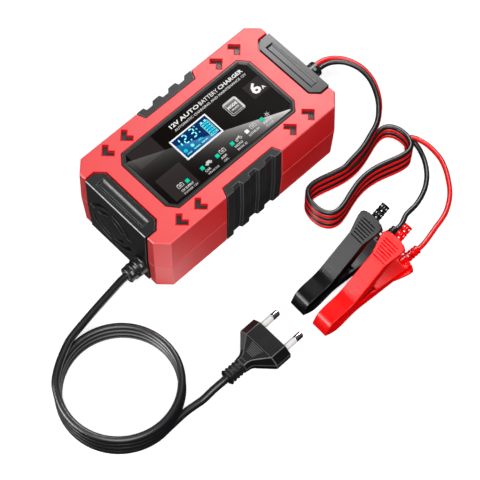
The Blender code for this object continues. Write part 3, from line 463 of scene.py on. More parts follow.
def floor_look():
    """Pale matt sweep.  Seen directly it glows a little, so shadows stay light; in reflections it
    is a soft bright pool beside the charger's near corner that fades to the far end."""
    s = Shader("studio_floor")
    path = s.node("ShaderNodeLightPath")
    seen, mirrored = path.outputs["Is Camera Ray"], path.outputs["Is Glossy Ray"]
    x, y = s.axis("X"), s.axis("Y")
    dx, dy = s.minus(x, POOL_AT[0]), s.minus(y, POOL_AT[1])
    away = s.plus(s.times(dx, dx), s.times(dy, dy))
    pool = s.math("POWER", 2.718, s.math("DIVIDE", away, -2.0 * POOL_SIZE ** 2))
    beside = s.times(s.spread(y, -24.0, -38.0, smooth=True),
                     s.spread(y, -76.0, -62.0, smooth=True))
    pool = s.plus(s.times(pool, POOL_LEVEL), s.spread(x, -110.0, 0.0, 0.36, 0.0))
    pool = s.plus(s.times(pool, beside), s.spread(y, -38.0, -24.0, 0.0, 0.12, smooth=True))
    pale = s.mix(s.noise(60.0, 2.0), (0.90, 0.90, 0.90), (0.93, 0.93, 0.93))
    body = s.mix(seen, (0.45, 0.45, 0.45), FLOOR_PALE)
    body = s.mix(s.times(seen, 0.5), body, pale)
    body = s.mix(mirrored, body, (0.0, 0.0, 0.0))
    glow = s.plus(s.times(seen, FLOOR_GLOW), s.times(mirrored, pool))
    return s.set(Base_Color=body, Emission_Color=(1.0, 1.0, 1.0), Emission_Strength=glow,
                 Roughness=s.spread(s.noise(2.0), 0.3, 0.7, 0.8, 0.9), Specular_IOR_Level=0.0)


LOOKS = {
    "red_shell": red_shell(),
    "red_edge": red_shell("red_edge", 1.0),
    "black_shell": black_shell(),
    "bezel_shell": black_shell("bezel_shell", 0.036, (0.08, 0.4)),
    "grip_shell": black_shell("grip_shell", 0.028, (0.16, 0.2)),
    "painted_shade_lip": grained("painted_shade_lip", (0.78, 0.001, 0.005), 0.6, grain_mm=0.4, depth=0.01, shade=0.06,
                       edge=1.0, specular=0.05),
    # Paler blacks for edges, strips and ridges: painted highlights.
    "black_edge": painted_edge_highlight("black_edge", 0.085),
    "painted_highlight_strip": painted_edge_highlight("painted_highlight_strip", 0.11, 0.5),
    "rubbed_edge": painted_edge_highlight("rubbed_edge", 0.50, 0.5),
    "grip_edge": painted_edge_highlight("grip_edge", 0.11),
    "plug_edge": painted_edge_highlight("plug_edge", 0.10),
    "ridge_edge": painted_edge_highlight("ridge_edge", 0.06, 0.5),
    "panel_gloss": panel_gloss(),
    "lcd_frame": ink("lcd_frame", (0.78, 0.80, 0.82)),
    "lcd_glass": lcd_look(),
    "button_grey": button_face(),
    "led_teal": glowing("led_teal", (0.0, 0.66, 0.42), 0.12),
    "led_white": glowing("led_white", (0.92, 0.97, 0.97), 0.2),
    "circuit_board": board_look(),
    "ferrite": grained("ferrite", (0.05, 0.045, 0.05), 0.6, grain_mm=0.3, shade=0.3),
    "capacitor_sleeve": glossy("capacitor_sleeve", (0.02, 0.04, 0.13), 0.3),
    "alloy": metal("alloy", (0.60, 0.60, 0.62), 0.38, stretch=(1.0, 1.0, 0.05)),
    "copper_wire": copper_look(),
    "steel": metal("steel", (0.56, 0.56, 0.57), 0.3),
    "pin_metal": metal("pin_metal", (0.78, 0.78, 0.79), 0.14),
    "sleeve_white": ink("sleeve_white", (0.86, 0.86, 0.85)),
    "soft_rubber": grained("soft_rubber", (0.014, 0.014, 0.015), 0.62, grain_mm=0.3, shade=0.3),
    # The high edge of boot_rubber, plug_black and clamp_black makes their edges much paler: mostly
    # a painted highlight.
    "boot_rubber": grained("boot_rubber", (0.009, 0.009, 0.009), 0.32, grain_mm=0.3, depth=0.01,
                           shade=0.25, edge=6.0),
    "plug_black": grained("plug_black", (0.004, 0.004, 0.0043), 0.30, grain_mm=0.25, depth=0.008,
                          shade=0.25, edge=6.0, specular=0.28),
    "gloss_black": glossy("gloss_black", (0.010, 0.010, 0.011), 0.24, edge=5.0),
    "gloss_red": glossy("gloss_red", (0.86, 0.002, 0.003), 0.26, edge=1.1),
    "cord_black": glossy("cord_black", (0.009, 0.009, 0.010), 0.3, wave_mm=6.0, edge=1.0),
    "cord_red": glossy("cord_red", (0.94, 0.001, 0.002), 0.32, wave_mm=6.0, edge=1.0),
    "silver_print": ink("silver_print", (0.50, 0.49, 0.49)),
    "white_ink": ink("white_ink", (0.88, 0.88, 0.88)),
    "pale_ink": ink("pale_ink", (0.62, 0.61, 0.60)),
    "sleeve_grey": ink("sleeve_grey", (0.34, 0.35, 0.35)),
    "clamp_black": grained("clamp_black", (0.002, 0.002, 0.0022), 0.25, grain_mm=0.4, depth=0.008,
                           shade=0.2, edge=30.0, specular=0.23),
    "clamp_red": grained("clamp_red", (0.97, 0.0005, 0.001), 0.25, grain_mm=0.4, depth=0.008,
                         shade=0.03, edge=1.03, specular=0.23),
    "black_mark": ink("black_mark", (0.004, 0.004, 0.004)),
    "red_mark": ink("red_mark", (0.42, 0.002, 0.004)),
    "segment": glowing("segment", (0.25, 0.95, 0.95), 0.25),
    "segment_blue": glowing("segment_blue", (0.01, 0.50, 0.72), 0.3),
}


# ------------------------------------------------------------------ mesh helpers
def piece(name, verts, faces, look, body="root", node=None, slot=None, sharp=40.0, frame_at=None):
    """A new piece from points in millimetres, riding on a body and standing for a CAD node."""
    mesh = bpy.data.meshes.new(name)
    place = frame_at or Matrix.Identity(4)
    mesh.from_pydata([(place @ Vector(v)) * MM for v in verts], [], faces)
    mesh.validate()
    made = bpy.data.objects.new(name, mesh)
    bpy.context.scene.collection.objects.link(made)
    mesh.materials.append(LOOKS[look])
    tidy_normals(mesh)
    shade(mesh, sharp)
    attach(made, body)
    if node:
        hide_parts(node)
    return made


def tidy_normals(mesh):
    bm = bmesh.new()
    bm.from_mesh(mesh)
    bmesh.ops.recalc_face_normals(bm, faces=bm.faces)
    bm.to_mesh(mesh)
    bm.free()


def shade(mesh, sharp):
    mesh.shade_smooth()
    mesh.set_sharp_from_angle(angle=radians(sharp))


def ring_faces(rings, closed=False):
    n = len(rings[0])
    faces = []
    spans = len(rings) if closed else len(rings) - 1
    for r in range(spans):
        a, b = r * n, ((r + 1) % len(rings)) * n
        for i in range(n):
            j = (i + 1) % n
            faces.append((a + i, a + j, b + j, b + i))
    if not closed:
        faces.append(tuple(range(n)))
        faces.append(tuple(range(n * (len(rings) - 1), n * len(rings))))
    return faces


def shell(rings, closed=False):
    """(verts, faces) of a skin over the rings: closed into a loop, or with a face at each end."""
    return [p for ring in rings for p in ring], ring_faces(rings, closed)


def loft(name, rings, look, closed=False, **options):
    return piece(name, *shell(rings, closed), look, **options)


def join(name, parts, look, **options):
    """One piece from several (verts, faces) shells."""
    verts, faces = [], []
    for some_verts, some_faces in parts:
        base = len(verts)
        verts += some_verts
        faces += [tuple(i + base for i in face) for face in some_faces]
    return piece(name, verts, faces, look, **options)


def circle(sides):
    """(cosine, sine) pairs round a circle."""
    return [(cos(a), sin(a)) for a in (2 * pi * k / sides for k in range(sides))]


def turned(profile, sides, place):
    """Rings of a profile of (along, radius) points turned about the X axis of `place`."""
    return [[place @ Vector((along, radius * c, radius * s)) for c, s in circle(sides)]
            for along, radius in profile]


def rounding(obj, width_mm, angle, edge=None):
    """Small rounded edges, in a look of their own where `edge` names one: these looks are painted
    highlights, and on the red covers also painted shade round the openings.
    """
    if edge:
        obj.data.materials.append(LOOKS[edge])
    step = obj.modifiers.new("Round", "BEVEL")
    step.width = width_mm * MM
    step.segments = 2
    step.limit_method = "ANGLE"
    step.angle_limit = radians(angle)
    step.material = 1 if edge else -1
    keep_flat(obj)


def keep_flat(obj):
    """Normals that leave large faces flat in the light."""
    smooth = obj.modifiers.new("Flats", "WEIGHTED_NORMAL")
    smooth.keep_sharp = True
    smooth.weight = 90


# ------------------------------------------------------------------ cords
def ring_centres(node, start, sides):
    """Centres of a cord's rings, read from the CAD mesh outward from the end nearest `start`."""
    mesh = NODES[node].data
    where, spots, index = {}, [], []
    for v in mesh.vertices:
        key = tuple(round(c, 6) for c in v.co)
        if key not in where:
            where[key] = len(spots)
            spots.append(v.co.copy())
        index.append(where[key])
    near = [set() for _ in spots]
    for polygon in mesh.polygons:
        corners = [index[i] for i in polygon.vertices]
        for a in corners:
            near[a].update(c for c in corners if c != a)
    origin = Vector(start) * MM
    layer = sorted(range(len(spots)), key=lambda i: (spots[i] - origin).length)[:sides]
    seen = set(layer)
    centres = []
    while layer:
        centres.append(sum((spots[i] for i in layer), Vector()) / len(layer) / MM)
        following = set().union(*(near[i] for i in layer)) - seen
        seen |= following
        layer = list(following)
    nearest = min(spots, key=lambda spot: (spot - origin).length)
    return centres, (nearest / MM - centres[0]).length


def smoothed(points, parts):
    """Catmull-Rom points through the given ones, `parts` to each stretch."""
    ends = [2 * points[0] - points[1]] + list(points) + [2 * points[-1] - points[-2]]
    path = [points[0]]
    for i in range(1, len(points)):
        p0, p1, p2, p3 = ends[i - 1:i + 3]
        for k in range(1, parts + 1):
            u = k / parts
            path.append(0.5 * (2 * p1 + (p2 - p0) * u + (2 * p0 - 5 * p1 + 4 * p2 - p3) * u ** 2
                               + (3 * p1 - p0 - 3 * p2 + p3) * u ** 3))
    return path


def tube_rings(path, radius, sides):
    rings, side = [], None
    for i, here in enumerate(path):
        run = (path[min(i + 1, len(path) - 1)] - path[max(i - 1, 0)]).normalized()
        if side is None:
            side = run.cross(Vector((0, 0, 1))).normalized()
        side = (side - run * side.dot(run)).normalized()
        up = side.cross(run)
        rings.append([here + radius * (c * side + s * up) for c, s in circle(sides)])
    return rings


def cord(name, node, start, sides_in_cad, colour):
    centres, radius = ring_centres(node, start, sides_in_cad)
    loft(name, tube_rings(smoothed(centres, 3), radius, 14), f"cord_{colour}", node=node,
         slot=f"gloss_{colour}", sharp=60.0)


def cords():
    low, high = box_mm("mains_boot")
    middle = (low + high) / 2
    cord("mains_cord_round", "mains_cord", (high.x, middle.y, middle.z), 6, "black")
    low, high = box_mm("dc_boot")
    middle = (low + high) / 2
    for lead, colour, offset in (("negative_lead", "black", -1.6), ("positive_lead", "red", 1.6)):
        cord(f"{lead}_round", lead, (low.x, middle.y + offset, middle.z), 5, colour)


# ------------------------------------------------------------------ cable boots
def ring_shell(place, x0, x1, inner, outer, sides=20, ease=0.25):
    """A flat ring about the place's X axis with eased outer edges, as (verts, faces)."""
    profile = [(x0, inner), (x0, outer - ease), (x0 + ease, outer), (x1 - ease, outer),
               (x1, outer - ease), (x1, inner)]
    return shell(turned(profile, sides, place), closed=True)


def bar_shell(place, x0, x1, inner, outer, angle, width):
    """A block on part of a ring: it joins one rib to the next."""
    rings = []
    for k in range(5):
        a = radians(angle + width * (k / 4 - 0.5))
        rings.append([place @ Vector((x, r * cos(a), r * sin(a)))
                      for x, r in ((x0, inner), (x1, inner), (x1, outer), (x0, outer))])
    return shell(rings)


def lattice(place, start, pitch, ribs, radii, inner, bars, width, turn=0.0, rib_share=0.5):
    """Ribs joined by staggered bars, with open windows between them."""
    shells = []
    for k in range(ribs):
        outer = radii[0] + (radii[1] - radii[0]) * k / max(1, ribs - 1)
        x = start + k * pitch
        shells.append(ring_shell(place, x, x + rib_share * pitch, inner, outer))
        if k == ribs - 1:
            break
        for b in range(bars):
            angle = turn + 360.0 / bars * (b + 0.5 * (k % 2))
            shells.append(bar_shell(place, x + (rib_share - 0.06) * pitch, x + 1.06 * pitch, inner,
                                    outer - 0.25, angle, width))
    return shells


def along_axis(x, y, z, sign=1):
    return Matrix.Translation((x, y, z)) @ Matrix.Diagonal((sign, 1, 1, 1))


BOOT_START = 73.6             # from the case's middle to each strain relief's first rib


def collar(place, bore, flange):
    """A strain relief's flange behind the end cap and its neck through it."""
    return [ring_shell(place, 66.2, 67.8, bore, flange),
            ring_shell(place, 67.2, 74.0, bore, flange - 0.2)]


def case_boots():
    place = along_axis(0, *MAINS_EXIT, -1)
    shells = collar(place, 2.65, 4.6)
    shells += lattice(place, BOOT_START, 3.35, 4, (6.0, 5.1), 3.1, 5, 30.0, 20.0, rib_share=0.46)
    join("mains_boot_ribs", shells, "boot_rubber", node="mains_boot")
    # The core's pale grey is partly a sleeve's own colour and partly a painted highlight for glints
    # seen through the windows.
    join("mains_boot_core", [ring_shell(place, 73.2, 85.2, 2.5, 3.2, ease=0.1)], "sleeve_grey",
         slot="boot_rubber")
    place = along_axis(0, *DC_EXIT)
    shells = collar(place, 3.9, 5.0)
    shells += lattice(place, BOOT_START, 4.05, 4, (5.4, 4.9), 3.9, 6, 30.0, 20.0)
    join("dc_boot_ribs", shells, "boot_rubber", node="dc_boot")
    # The DC boot's core has the same pale grey: partly the sleeve's colour, partly a painted glint
    # highlight.
    radius, ends = 4.1, (73.2, 87.6)
    half_y, half_z = LEAD_BORE
    outside = turned([(x, radius) for x in ends], 24, place)
    hollow = [[place @ Vector((x, max(-half_y, min(half_y, 1.2 * radius * c)),
                               max(-half_z, min(half_z, 1.2 * radius * s))))
               for c, s in circle(24)] for x in reversed(ends)]
    loft("dc_boot_core", outside + hollow, "sleeve_grey", closed=True, slot="boot_rubber")


# ------------------------------------------------------------------ plug
def plug_ring(x, half_y, half_z, top_y):
    px, py, pz = PLUG_AT
    side = half_z * 0.36
    quarter = [(half_y, side), (top_y, half_z)]
    left = [(-y, z) for y, z in reversed(quarter)]
    outline = quarter + left + [(-y, -z) for y, z in quarter] + [(-y, -z) for y, z in left]
    return [(px + x, py + y, pz + z) for y, z in outline]


def plug_body():
    sections = ((-25.0, 4.5, 4.4, 2.3), (-22.0, 4.9, 4.6, 2.5), (-20.9, 5.3, 4.8, 2.9),
                (-20.0, 5.8, 5.1, 3.3), (-19.2, 6.5, 5.4, 3.8), (-18.4, 7.4, 5.6, 4.4),
                (-10.8, 15.2, 6.1, 10.2), (0.0, 15.2, 6.1, 10.3))
    body = loft("plug_body", [plug_ring(*s) for s in sections], "plug_black", node="mains_plug",
                sharp=28.0)
    rounding(body, 0.3, 20.0, "plug_edge")


def plug_ridges():
    """Grip lines on the tapering part of both flat faces, inside a thin raised outline."""
    px, py, _ = PLUG_AT
    shells = []
    for face in (1, -1):
        for k in range(8):
            x = -12.0 - 1.0 * k
            half = 4.4 - 0.31 * k
            shells.append(face_strip((px + x - 0.2, py - half), (px + x + 0.2, py + half), face))
        for x in (-10.9, -22.6):
            half = 9.9 if x > -15 else 2.4
            shells.append(face_strip((px + x - 0.12, py - half), (px + x + 0.12, py + half), face))
    # The ridges' paler black is a painted highlight.
    join("plug_ridges", shells, "ridge_edge", slot="plug_black")


def face_strip(low, high, face):
    """A thin strip lying on the plug's flat face, following its slope."""
    px, _, pz = PLUG_AT
    rings = []
    for height in (-0.15, 0.22):
        ring = []
        for x, y in (low, (high[0], low[1]), high, (low[0], high[1])):
            s = x - px
            surface = 6.1 + (min(0.0, s + 10.8)) * 0.5 / 7.6 if s > -18.4 else 4.9 + (s + 20) * 0.1
            ring.append((x, y, pz + face * (surface + height)))
        rings.append(ring)
    return shell(rings)


def plug_boot():
    """Five ribs on a core behind the plug, joined by staggered bars."""
    ribs = [-36.0 + 2.5 * k for k in range(5)]
    shells = []
    for x in ribs:
        size = 4.6 if x == ribs[0] else 4.35
        shells.append(shell([plug_ring(x + dx, size + g, size + g, 2.2 + g)
                             for dx, g in ((0.0, -0.3), (0.3, 0.0), (1.2, 0.0), (1.5, -0.3))]))
    shells.append(shell([plug_ring(x, 3.5, 3.5, 1.8) for x in (-35.4, -24.5)]))
    place = Matrix.Translation(PLUG_AT)
    for k, x in enumerate(ribs[:-1]):
        shells += [bar_shell(place, x + 1.3, x + 2.7, 3.0, 4.15, 60.0 * (b + 0.5 * (k % 2)), 24.0)
                   for b in range(6)]
    join("plug_boot", shells, "boot_rubber", slot="plug_black")


def plug_pins():
    px, py, pz = PLUG_AT
    for k, side in enumerate((1, -1)):
        place = along_axis(px, py + side * PIN_PITCH / 2, pz)
        tip = [(14.0 - 1.1 + 1.1 * sin(a), 0.9 + 1.1 * cos(a)) for a in
               (pi / 2 * i / 5 for i in range(6))]
        profile = [(-8.0, 1.9), (0.6, 1.9), (0.6, 1.45), (8.9, 1.45), (8.9, 2.0)] + tip
        loft(f"contact_pin_{k + 1}", turned(profile, 24, place), "pin_metal",
             node=f"plug_pin_{k + 1}")
        sleeve = [(0.1, 1.5), (0.1, 1.95), (8.5, 1.95), (8.75, 1.8), (8.75, 1.5)]
        loft(f"contact_sleeve_{k + 1}", turned(sleeve, 24, place), "sleeve_white", closed=True,
             node=f"pin_sleeve_{k + 1}")


# ------------------------------------------------------------------ clamps
def between(knots, s):
    """Straight-line value at s through (s, value) knots."""
    if s <= knots[0][0]:
        return knots[0][1]
    for (s0, v0), (s1, v1) in zip(knots, knots[1:]):
        if s <= s1:
            return v0 + (v1 - v0) * (s - s0) / (s1 - s0)
    return knots[-1][1]


TAIL_TURN, TAIL_HALF = 63.4, 8.2   # where the tail's round end begins, and its half width
CHANNEL_END = 39.0                 # the open channel under the outer plate ends here
RISE = 0.40403                     # tangent of the handles' slope
OUTER_FACE = ((0.0, 0.9), (0.8, 1.9), (2.2, 3.45), (4.2, 5.5), (6.4, 7.0), (7.4, 7.2), (9.0, 7.2),
              (11.5, 7.2), (17.5, 6.43), (20.0, 6.28), (22.5, 6.45), (25.0, 6.98), (27.2, 7.72),
              (90.0, 6.4 + 66.0 * RISE))
HALF_WIDTH = ((0.0, 5.3), (4.4, 5.5), (11.5, 5.7), (36.0, 5.7), (51.0, 5.6), (52.5, 5.9),
              (57.0, 7.2), (61.5, 8.25), (63.3, 8.2))
LOWER_EDGE = ((0.0, 0.15), (2.2, 0.15), (4.4, 0.3), (7.5, 1.0), (11.5, 1.7), (18.5, 0.35),
              (24.0, 0.35), (30.0, 2.9), (36.0, 3.6), (51.0, 11.0), (52.5, 11.8), (57.0, 14.3),
              (62.0, 17.2), (63.3, 17.6), (66.5, 18.2))
SKIN = ((0.0, 0.3), (0.8, 1.9), (2.2, 2.3), (4.4, 1.8), (7.5, 1.5), (39.0, 1.5))
GRIP_LINES = [53.4 + 1.75 * k for k in range(6)]
GROOVE_HALF = 0.36
NECK_LINE = 51.2


def outer_face(s):
    """Height of a handle's outer face, with its corners eased."""
    reach = min(1.6, 0.25 + 0.3 * s)
    steps = [s + reach * (k / 4 - 1) for k in range(9)]
    return sum(between(OUTER_FACE, max(0.0, u)) for u in steps) / 9


def groove_at(s):
    """(depth, half-length) of the grip line at s, or zeros."""
    if abs(s - NECK_LINE) < 0.01:
        return 0.5, 4.9
    for line in GRIP_LINES:
        if abs(s - line) < 0.01:
            return 0.42, between(((53.0, 4.0), (60.0, 6.0), (63.0, 5.2)), s)
    return 0.0, 0.0


def handle_section(s, half_w):
    """A handle's section at s: a broad outer plate on a narrower channel."""
    x = s - CLAMP_PIVOT
    top = outer_face(s)
    edge = between(LOWER_EDGE, s)
    web = min(half_w - 0.03, 5.6)
    plate = max(top - 2.2, edge + 0.35 * (top - edge))
    roof = max(edge + 0.1, top - between(SKIN, s))
    if s > CHANNEL_END:
        roof = max(roof - (s - CHANNEL_END) * 3.0, edge + 0.7)
    if s > 63.5:
        roof = edge + 0.2
    wall = 1.2 if s < CHANNEL_END else 0.9
    inner = max(0.3, web - wall)
    c = min(0.5, 0.2 * half_w)
    depth, reach = groove_at(s)
    g = reach if depth else min(0.7 * half_w, 4.5)
    right = [(g, top - depth), (g + 0.12, top), (half_w - c, top),
             (half_w - 0.5 * c, top - 0.134 * c), (half_w - 0.134 * c, top - 0.5 * c),
             (half_w, top - c), (half_w, plate), (web, plate), (web, edge), (inner, edge),
             (inner, roof)]
    left = [(-y, z) for y, z in reversed(right)]
    return [(x, y, z) for y, z in right + left]


def handle_stations():
    nose = [0.0, 0.35, 0.8, 1.4] + [2.2 + 0.8 * k for k in range(8)]
    bend = [8.8, 10.0, 11.5, 13.0, 16.0] + [17.5 + 1.1 * k for k in range(11)]
    slope = [31.0, 33.5, 36.0, 38.9, 39.3, 40.5, 44.0, 48.0]
    steps = (-GROOVE_HALF - 0.1, -GROOVE_HALF, 0.0, GROOVE_HALF, GROOVE_HALF + 0.1)
    grip = [line + step for line in [NECK_LINE] + GRIP_LINES for step in steps]
    return nose + bend + slope + grip + [TAIL_TURN]


def tail_end(a):
    """(station, half width) at an angle round the tail's end."""
    return TAIL_TURN + (CLAMP_LENGTH - TAIL_TURN) * sin(a), TAIL_HALF * cos(a) ** 0.7


def on_side(shells, side):
    """The shells as made for the upper half (side 1), or turned over for the lower one (-1)."""
    return [([(x, side * y, side * z) for x, y, z in verts], faces) for verts, faces in shells]


def handle_shells():
    """The upper handle: its moulding, ribs round the tail and the strain relief's lattice."""
    rings = [handle_section(s, between(HALF_WIDTH, s)) for s in handle_stations()]
    rings += [handle_section(*tail_end(pi / 2 * k / 8)) for k in range(1, 8)]
    shells = [shell(rings)]
    for degrees in (12, 32, 52, 70):
        s, half = tail_end(radians(degrees))
        top = outer_face(s - 0.25)
        profile = [(top - 5.0, 0.6), (top - 0.9, 0.6), (top - 0.5, 0.3)]
        for y in (half - 0.15, 0.15 - half):
            foot = (Matrix.Translation((s - 0.25 - CLAMP_PIVOT, y, 0))
                    @ Matrix.Rotation(-pi / 2, 4, "Y"))
            shells.append(shell(turned(profile, 8, foot)))
    root = (Matrix.Translation((CLAMP_LENGTH - 1.4 - CLAMP_PIVOT, 0, 19.9))
            @ Matrix.Rotation(-radians(16.0), 4, "Y"))
    shells.append(ring_shell(root, -2.5, 1.4, 1.95, 2.8, 16, 0.2))
    return shells + lattice(root, 0.9, 2.35, 5, (3.0, 2.8), 2.15, 4, 30.0, 45.0, rib_share=0.4)


def polarity_marks(sign):
    """A raised bracket with a minus or plus beside the bend."""
    strips = [(25.2, 30.4, 2.9, 3.25), (25.2, 25.55, -1.9, 3.0), (30.05, 30.4, -1.9, 3.0),
              (27.6, 27.95, -0.9, 1.3)]
    if sign == "plus":
        strips.append((26.7, 28.9, 0.05, 0.4))
    return [shell([[(s - CLAMP_PIVOT, y, outer_face(s) + h)
                    for s, y in ((s0, y0), (s1, y0), (s1, y1), (s0, y1))] for h in (-0.1, 0.08)])
            for s0, s1, y0, y1 in strips]


def clamp_frame(colour):
    joint = next(j for j in frame["joints"] if j["name"] == f"{colour}_clamp_hinge")
    across = Vector(joint["axis"]).normalized()
    up = node_middle(f"{colour}_upper_handle") - node_middle(f"{colour}_lower_handle")
    up = (up - across * up.dot(across)).normalized()
    place = Matrix((across.cross(up), across, up)).transposed().to_4x4()
    return Matrix.Translation(Vector(joint["pos_m"]) / MM) @ place


def node_middle(node):
    points = [v.co for v in NODES[node].data.vertices]
    return sum(points, Vector()) / len(points)


def torsion_spring(colour, place):
    """Turns round the pin; the near leg lies along the upper handle. The spring rides on no body.
    """
    radius, wire, pitch, leg = 2.75, 0.45, 1.15, 5.0
    first, last = radians(125), radians(955)
    width = pitch * (last - first) / (2 * pi)
    count = 84
    coil = []
    for k in range(count + 1):
        a = first + (last - first) * k / count
        coil.append(Vector((radius * cos(a), width * (k / count - 0.5), radius * sin(a))))
    start = coil[0] + leg * Vector((sin(first), 0, -cos(first)))
    end = coil[-1] + leg * Vector((-sin(last), 0, cos(last)))
    path = [start, (start + coil[0]) / 2] + coil + [(end + coil[-1]) / 2, end]
    rings = tube_rings([place @ p for p in path], wire, 8)
    made = loft(f"{colour}_torsion_spring", rings, "steel", node=f"{colour}_spring")
    made.parent = None
    del made["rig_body"]
    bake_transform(made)


def clamp(colour, sign):
    place, slot = clamp_frame(colour), f"gloss_{colour}"
    for side, tag, body in ((1, "upper", f"{colour}_upper"), (-1, "lower", "root")):
        made = join(f"{colour}_{tag}_grip", on_side(handle_shells(), side), f"clamp_{colour}",
                    body=body, slot=slot, frame_at=place, node=f"{colour}_{tag}_handle", sharp=32.0)
        keep_flat(made)
        join(f"{colour}_{tag}_mark", on_side(polarity_marks(sign), side), f"{colour}_mark",
             body=body, slot=slot, frame_at=place)
    half = [(4.4, 1.35), (4.4, 2.3), (4.5, 2.3), (4.8, 2.05), (5.05, 1.5), (5.1, 0.9)]
    profile = [(-x, r) for x, r in reversed(half)] + half
    turn = place @ Matrix.Rotation(pi / 2, 4, "Z")
    loft(f"{colour}_rivet", turned(profile, 24, turn), "steel", node=f"{colour}_pivot_pin")
    torsion_spring(colour, place)


# ------------------------------------------------------------------ button, print and display
def rounded_outline(cx, cy, half, radius, steps=5):
    points = []
    for corner, (sx, sy) in enumerate(((1, 1), (-1, 1), (-1, -1), (1, -1))):
        for k in range(steps + 1):
            a = pi / 2 * (corner + k / steps)
            points.append((cx + sx * (half - radius) + radius * cos(a),
                           cy + sy * (half - radius) + radius * sin(a)))
    return points


def frame_shell(half_out, half_in, radius_out, z1):
    """A raised rounded-square frame on the button."""
    z0, ease = z1 - 0.2, 0.08
    radius_in = max(0.3, radius_out - (half_out - half_in))
    rings = []
    for half, radius, z in ((half_in, radius_in, z0), (half_in, radius_in, z1 - ease),
                            (half_in + ease, radius_in + ease, z1),
                            (half_out - ease, radius_out - ease, z1),
                            (half_out, radius_out, z1 - ease), (half_out, radius_out, z0)):
        rings.append([(x, y, z) for x, y in rounded_outline(*BUTTON_AT, half, radius)])
    return shell(rings, closed=True)


def push_button():
    low, high = box_mm("mode_button")
    levels = ((6.2, 1.6, low.z), (6.2, 1.6, low.z + 0.9), (5.2, 1.5, low.z + 0.9),
              (5.2, 1.5, high.z - 0.35), (5.05, 1.4, high.z - 0.15), (4.8, 1.3, high.z - 0.12))
    rings = [[(x, y, z) for x, y in rounded_outline(*BUTTON_AT, half, radius)]
             for half, radius, z in levels]
    loft("push_button", rings, "button_grey", body="mode_button", node="mode_button", sharp=30.0)
    frames = [frame_shell(*sizes, high.z) for sizes in ((5.15, 4.83, 1.45), (4.1, 3.75, 0.9))]
    join("button_frames", frames, "silver_print", body="mode_button", slot="button_grey")
    words = [text_shell("MODE", 18.9, 2.95, 7.0, 1.9, 0.035, high.z - 0.12),
             text_shell("SELECT", 20.0, 0.9, 5.4, 1.0, 0.02, high.z - 0.12)]
    join("button_print", words, "white_ink", body="mode_button", slot="button_grey")


def text_shell(text, left, base, width, height, bold=0.0, z=PRINT_Z):
    """Extruded lettering fitted to a box on the panel, as (verts, faces)."""
    curve = bpy.data.curves.new("lettering", "FONT")
    curve.body = text
    curve.resolution_u = 2
    curve.extrude = 0.02
    curve.offset = bold
    holder = bpy.data.objects.new("lettering", curve)
    bpy.context.scene.collection.objects.link(holder)
    mesh = bpy.data.meshes.new_from_object(holder)
    bpy.data.objects.remove(holder, do_unlink=True)
    bpy.data.curves.remove(curve)
    bm = bmesh.new()
    bm.from_mesh(mesh)
    bmesh.ops.remove_doubles(bm, verts=bm.verts, dist=0.0005)
    bm.to_mesh(mesh)
    bm.free()
    points = [v.co.copy() for v in mesh.vertices]
    faces = [tuple(p.vertices) for p in mesh.polygons]
    bpy.data.meshes.remove(mesh)
    low = Vector([min(p[i] for p in points) for i in range(3)])
    size = Vector([max(p[i] for p in points) for i in range(3)]) - low
    verts = [(left + (p.x - low.x) / size.x * width, base + (p.y - low.y) / size.y * height,
              z + (p.z - low.z) / size.z * PRINT_THICKNESS) for p in points]
    return verts, faces


def flat(x0, y0, x1, y1):
    """A printed rectangle on the panel, as (verts, faces)."""
    return shell([[(x0, y0, z), (x1, y0, z), (x1, y1, z), (x0, y1, z)]
                  for z in (PRINT_Z, PRINT_Z + PRINT_THICKNESS)])


def outline(x0, y0, x1, y1, line):
    """Four strips round a rectangle."""
    return [flat(x0, y0, x1, y0 + line), flat(x0, y1 - line, x1, y1),
            flat(x0, y0 + line, x0 + line, y1 - line), flat(x1 - line, y0 + line, x1, y1 - line)]


def disc(cx, cy, outer, inner=0.0):
    """A printed disc or ring on the panel, as (verts, faces)."""
    place = Matrix.Translation((cx, cy, PRINT_Z)) @ Matrix.Rotation(-pi / 2, 4, "Y")
    if inner:
        return ring_shell(place, 0.0, PRINT_THICKNESS, inner, outer, 16, 0.005)
    return shell(turned([(0.0, outer), (PRINT_THICKNESS, outer)], 16, place))


def panel_print():
    title = [text_shell(*words) for words in (
        ("12V", -13.9, 16.5, 6.9, 2.6, 0.03), ("AUTO", -6.2, 16.5, 14.6, 2.6, 0.022),
        ("BATTERY", 9.3, 16.5, 14.2, 2.6), ("CHARGER", 24.4, 16.5, 18.8, 2.6, 0.022),
        ("6", 37.2, -0.7, 5.8, 7.9, 0.03), ("A", 43.2, -0.4, 2.5, 2.3, 0.03))]
    join("title_print", title, "white_ink", slot="lcd_frame")
    small = [text_shell("AUTOMATIC CHARGING AND MAINTENANCE 12V", -13.2, 13.5, 56.4, 1.6, 0.015)]
    for x, first, wide, second, wide2 in (
            (-37.4, "12V SUPPLY", 9.0, "POWER 12V", 10.4), (-19.0, "CAR", 4.0, "VEHICLE", 8.4),
            (-6.7, "AGM", 4.2, "GEL", 3.8), (4.4, "MOTO", 6.0, "BIKE", 7.4),
            (15.6, "LITHIUM", 8.0, "", 0.0), (27.2, "REPAIR", 7.0, "PULSE", 5.6)):
        small.append(text_shell(first, x, -18.3, wide, 1.5, 0.025))
        if second:
            small.append(text_shell(second, x, -20.5, wide2, 1.25))
    join("label_print", small, "pale_ink", slot="lcd_frame")
    join("icon_print", panel_icons(), "pale_ink", slot="lcd_frame")


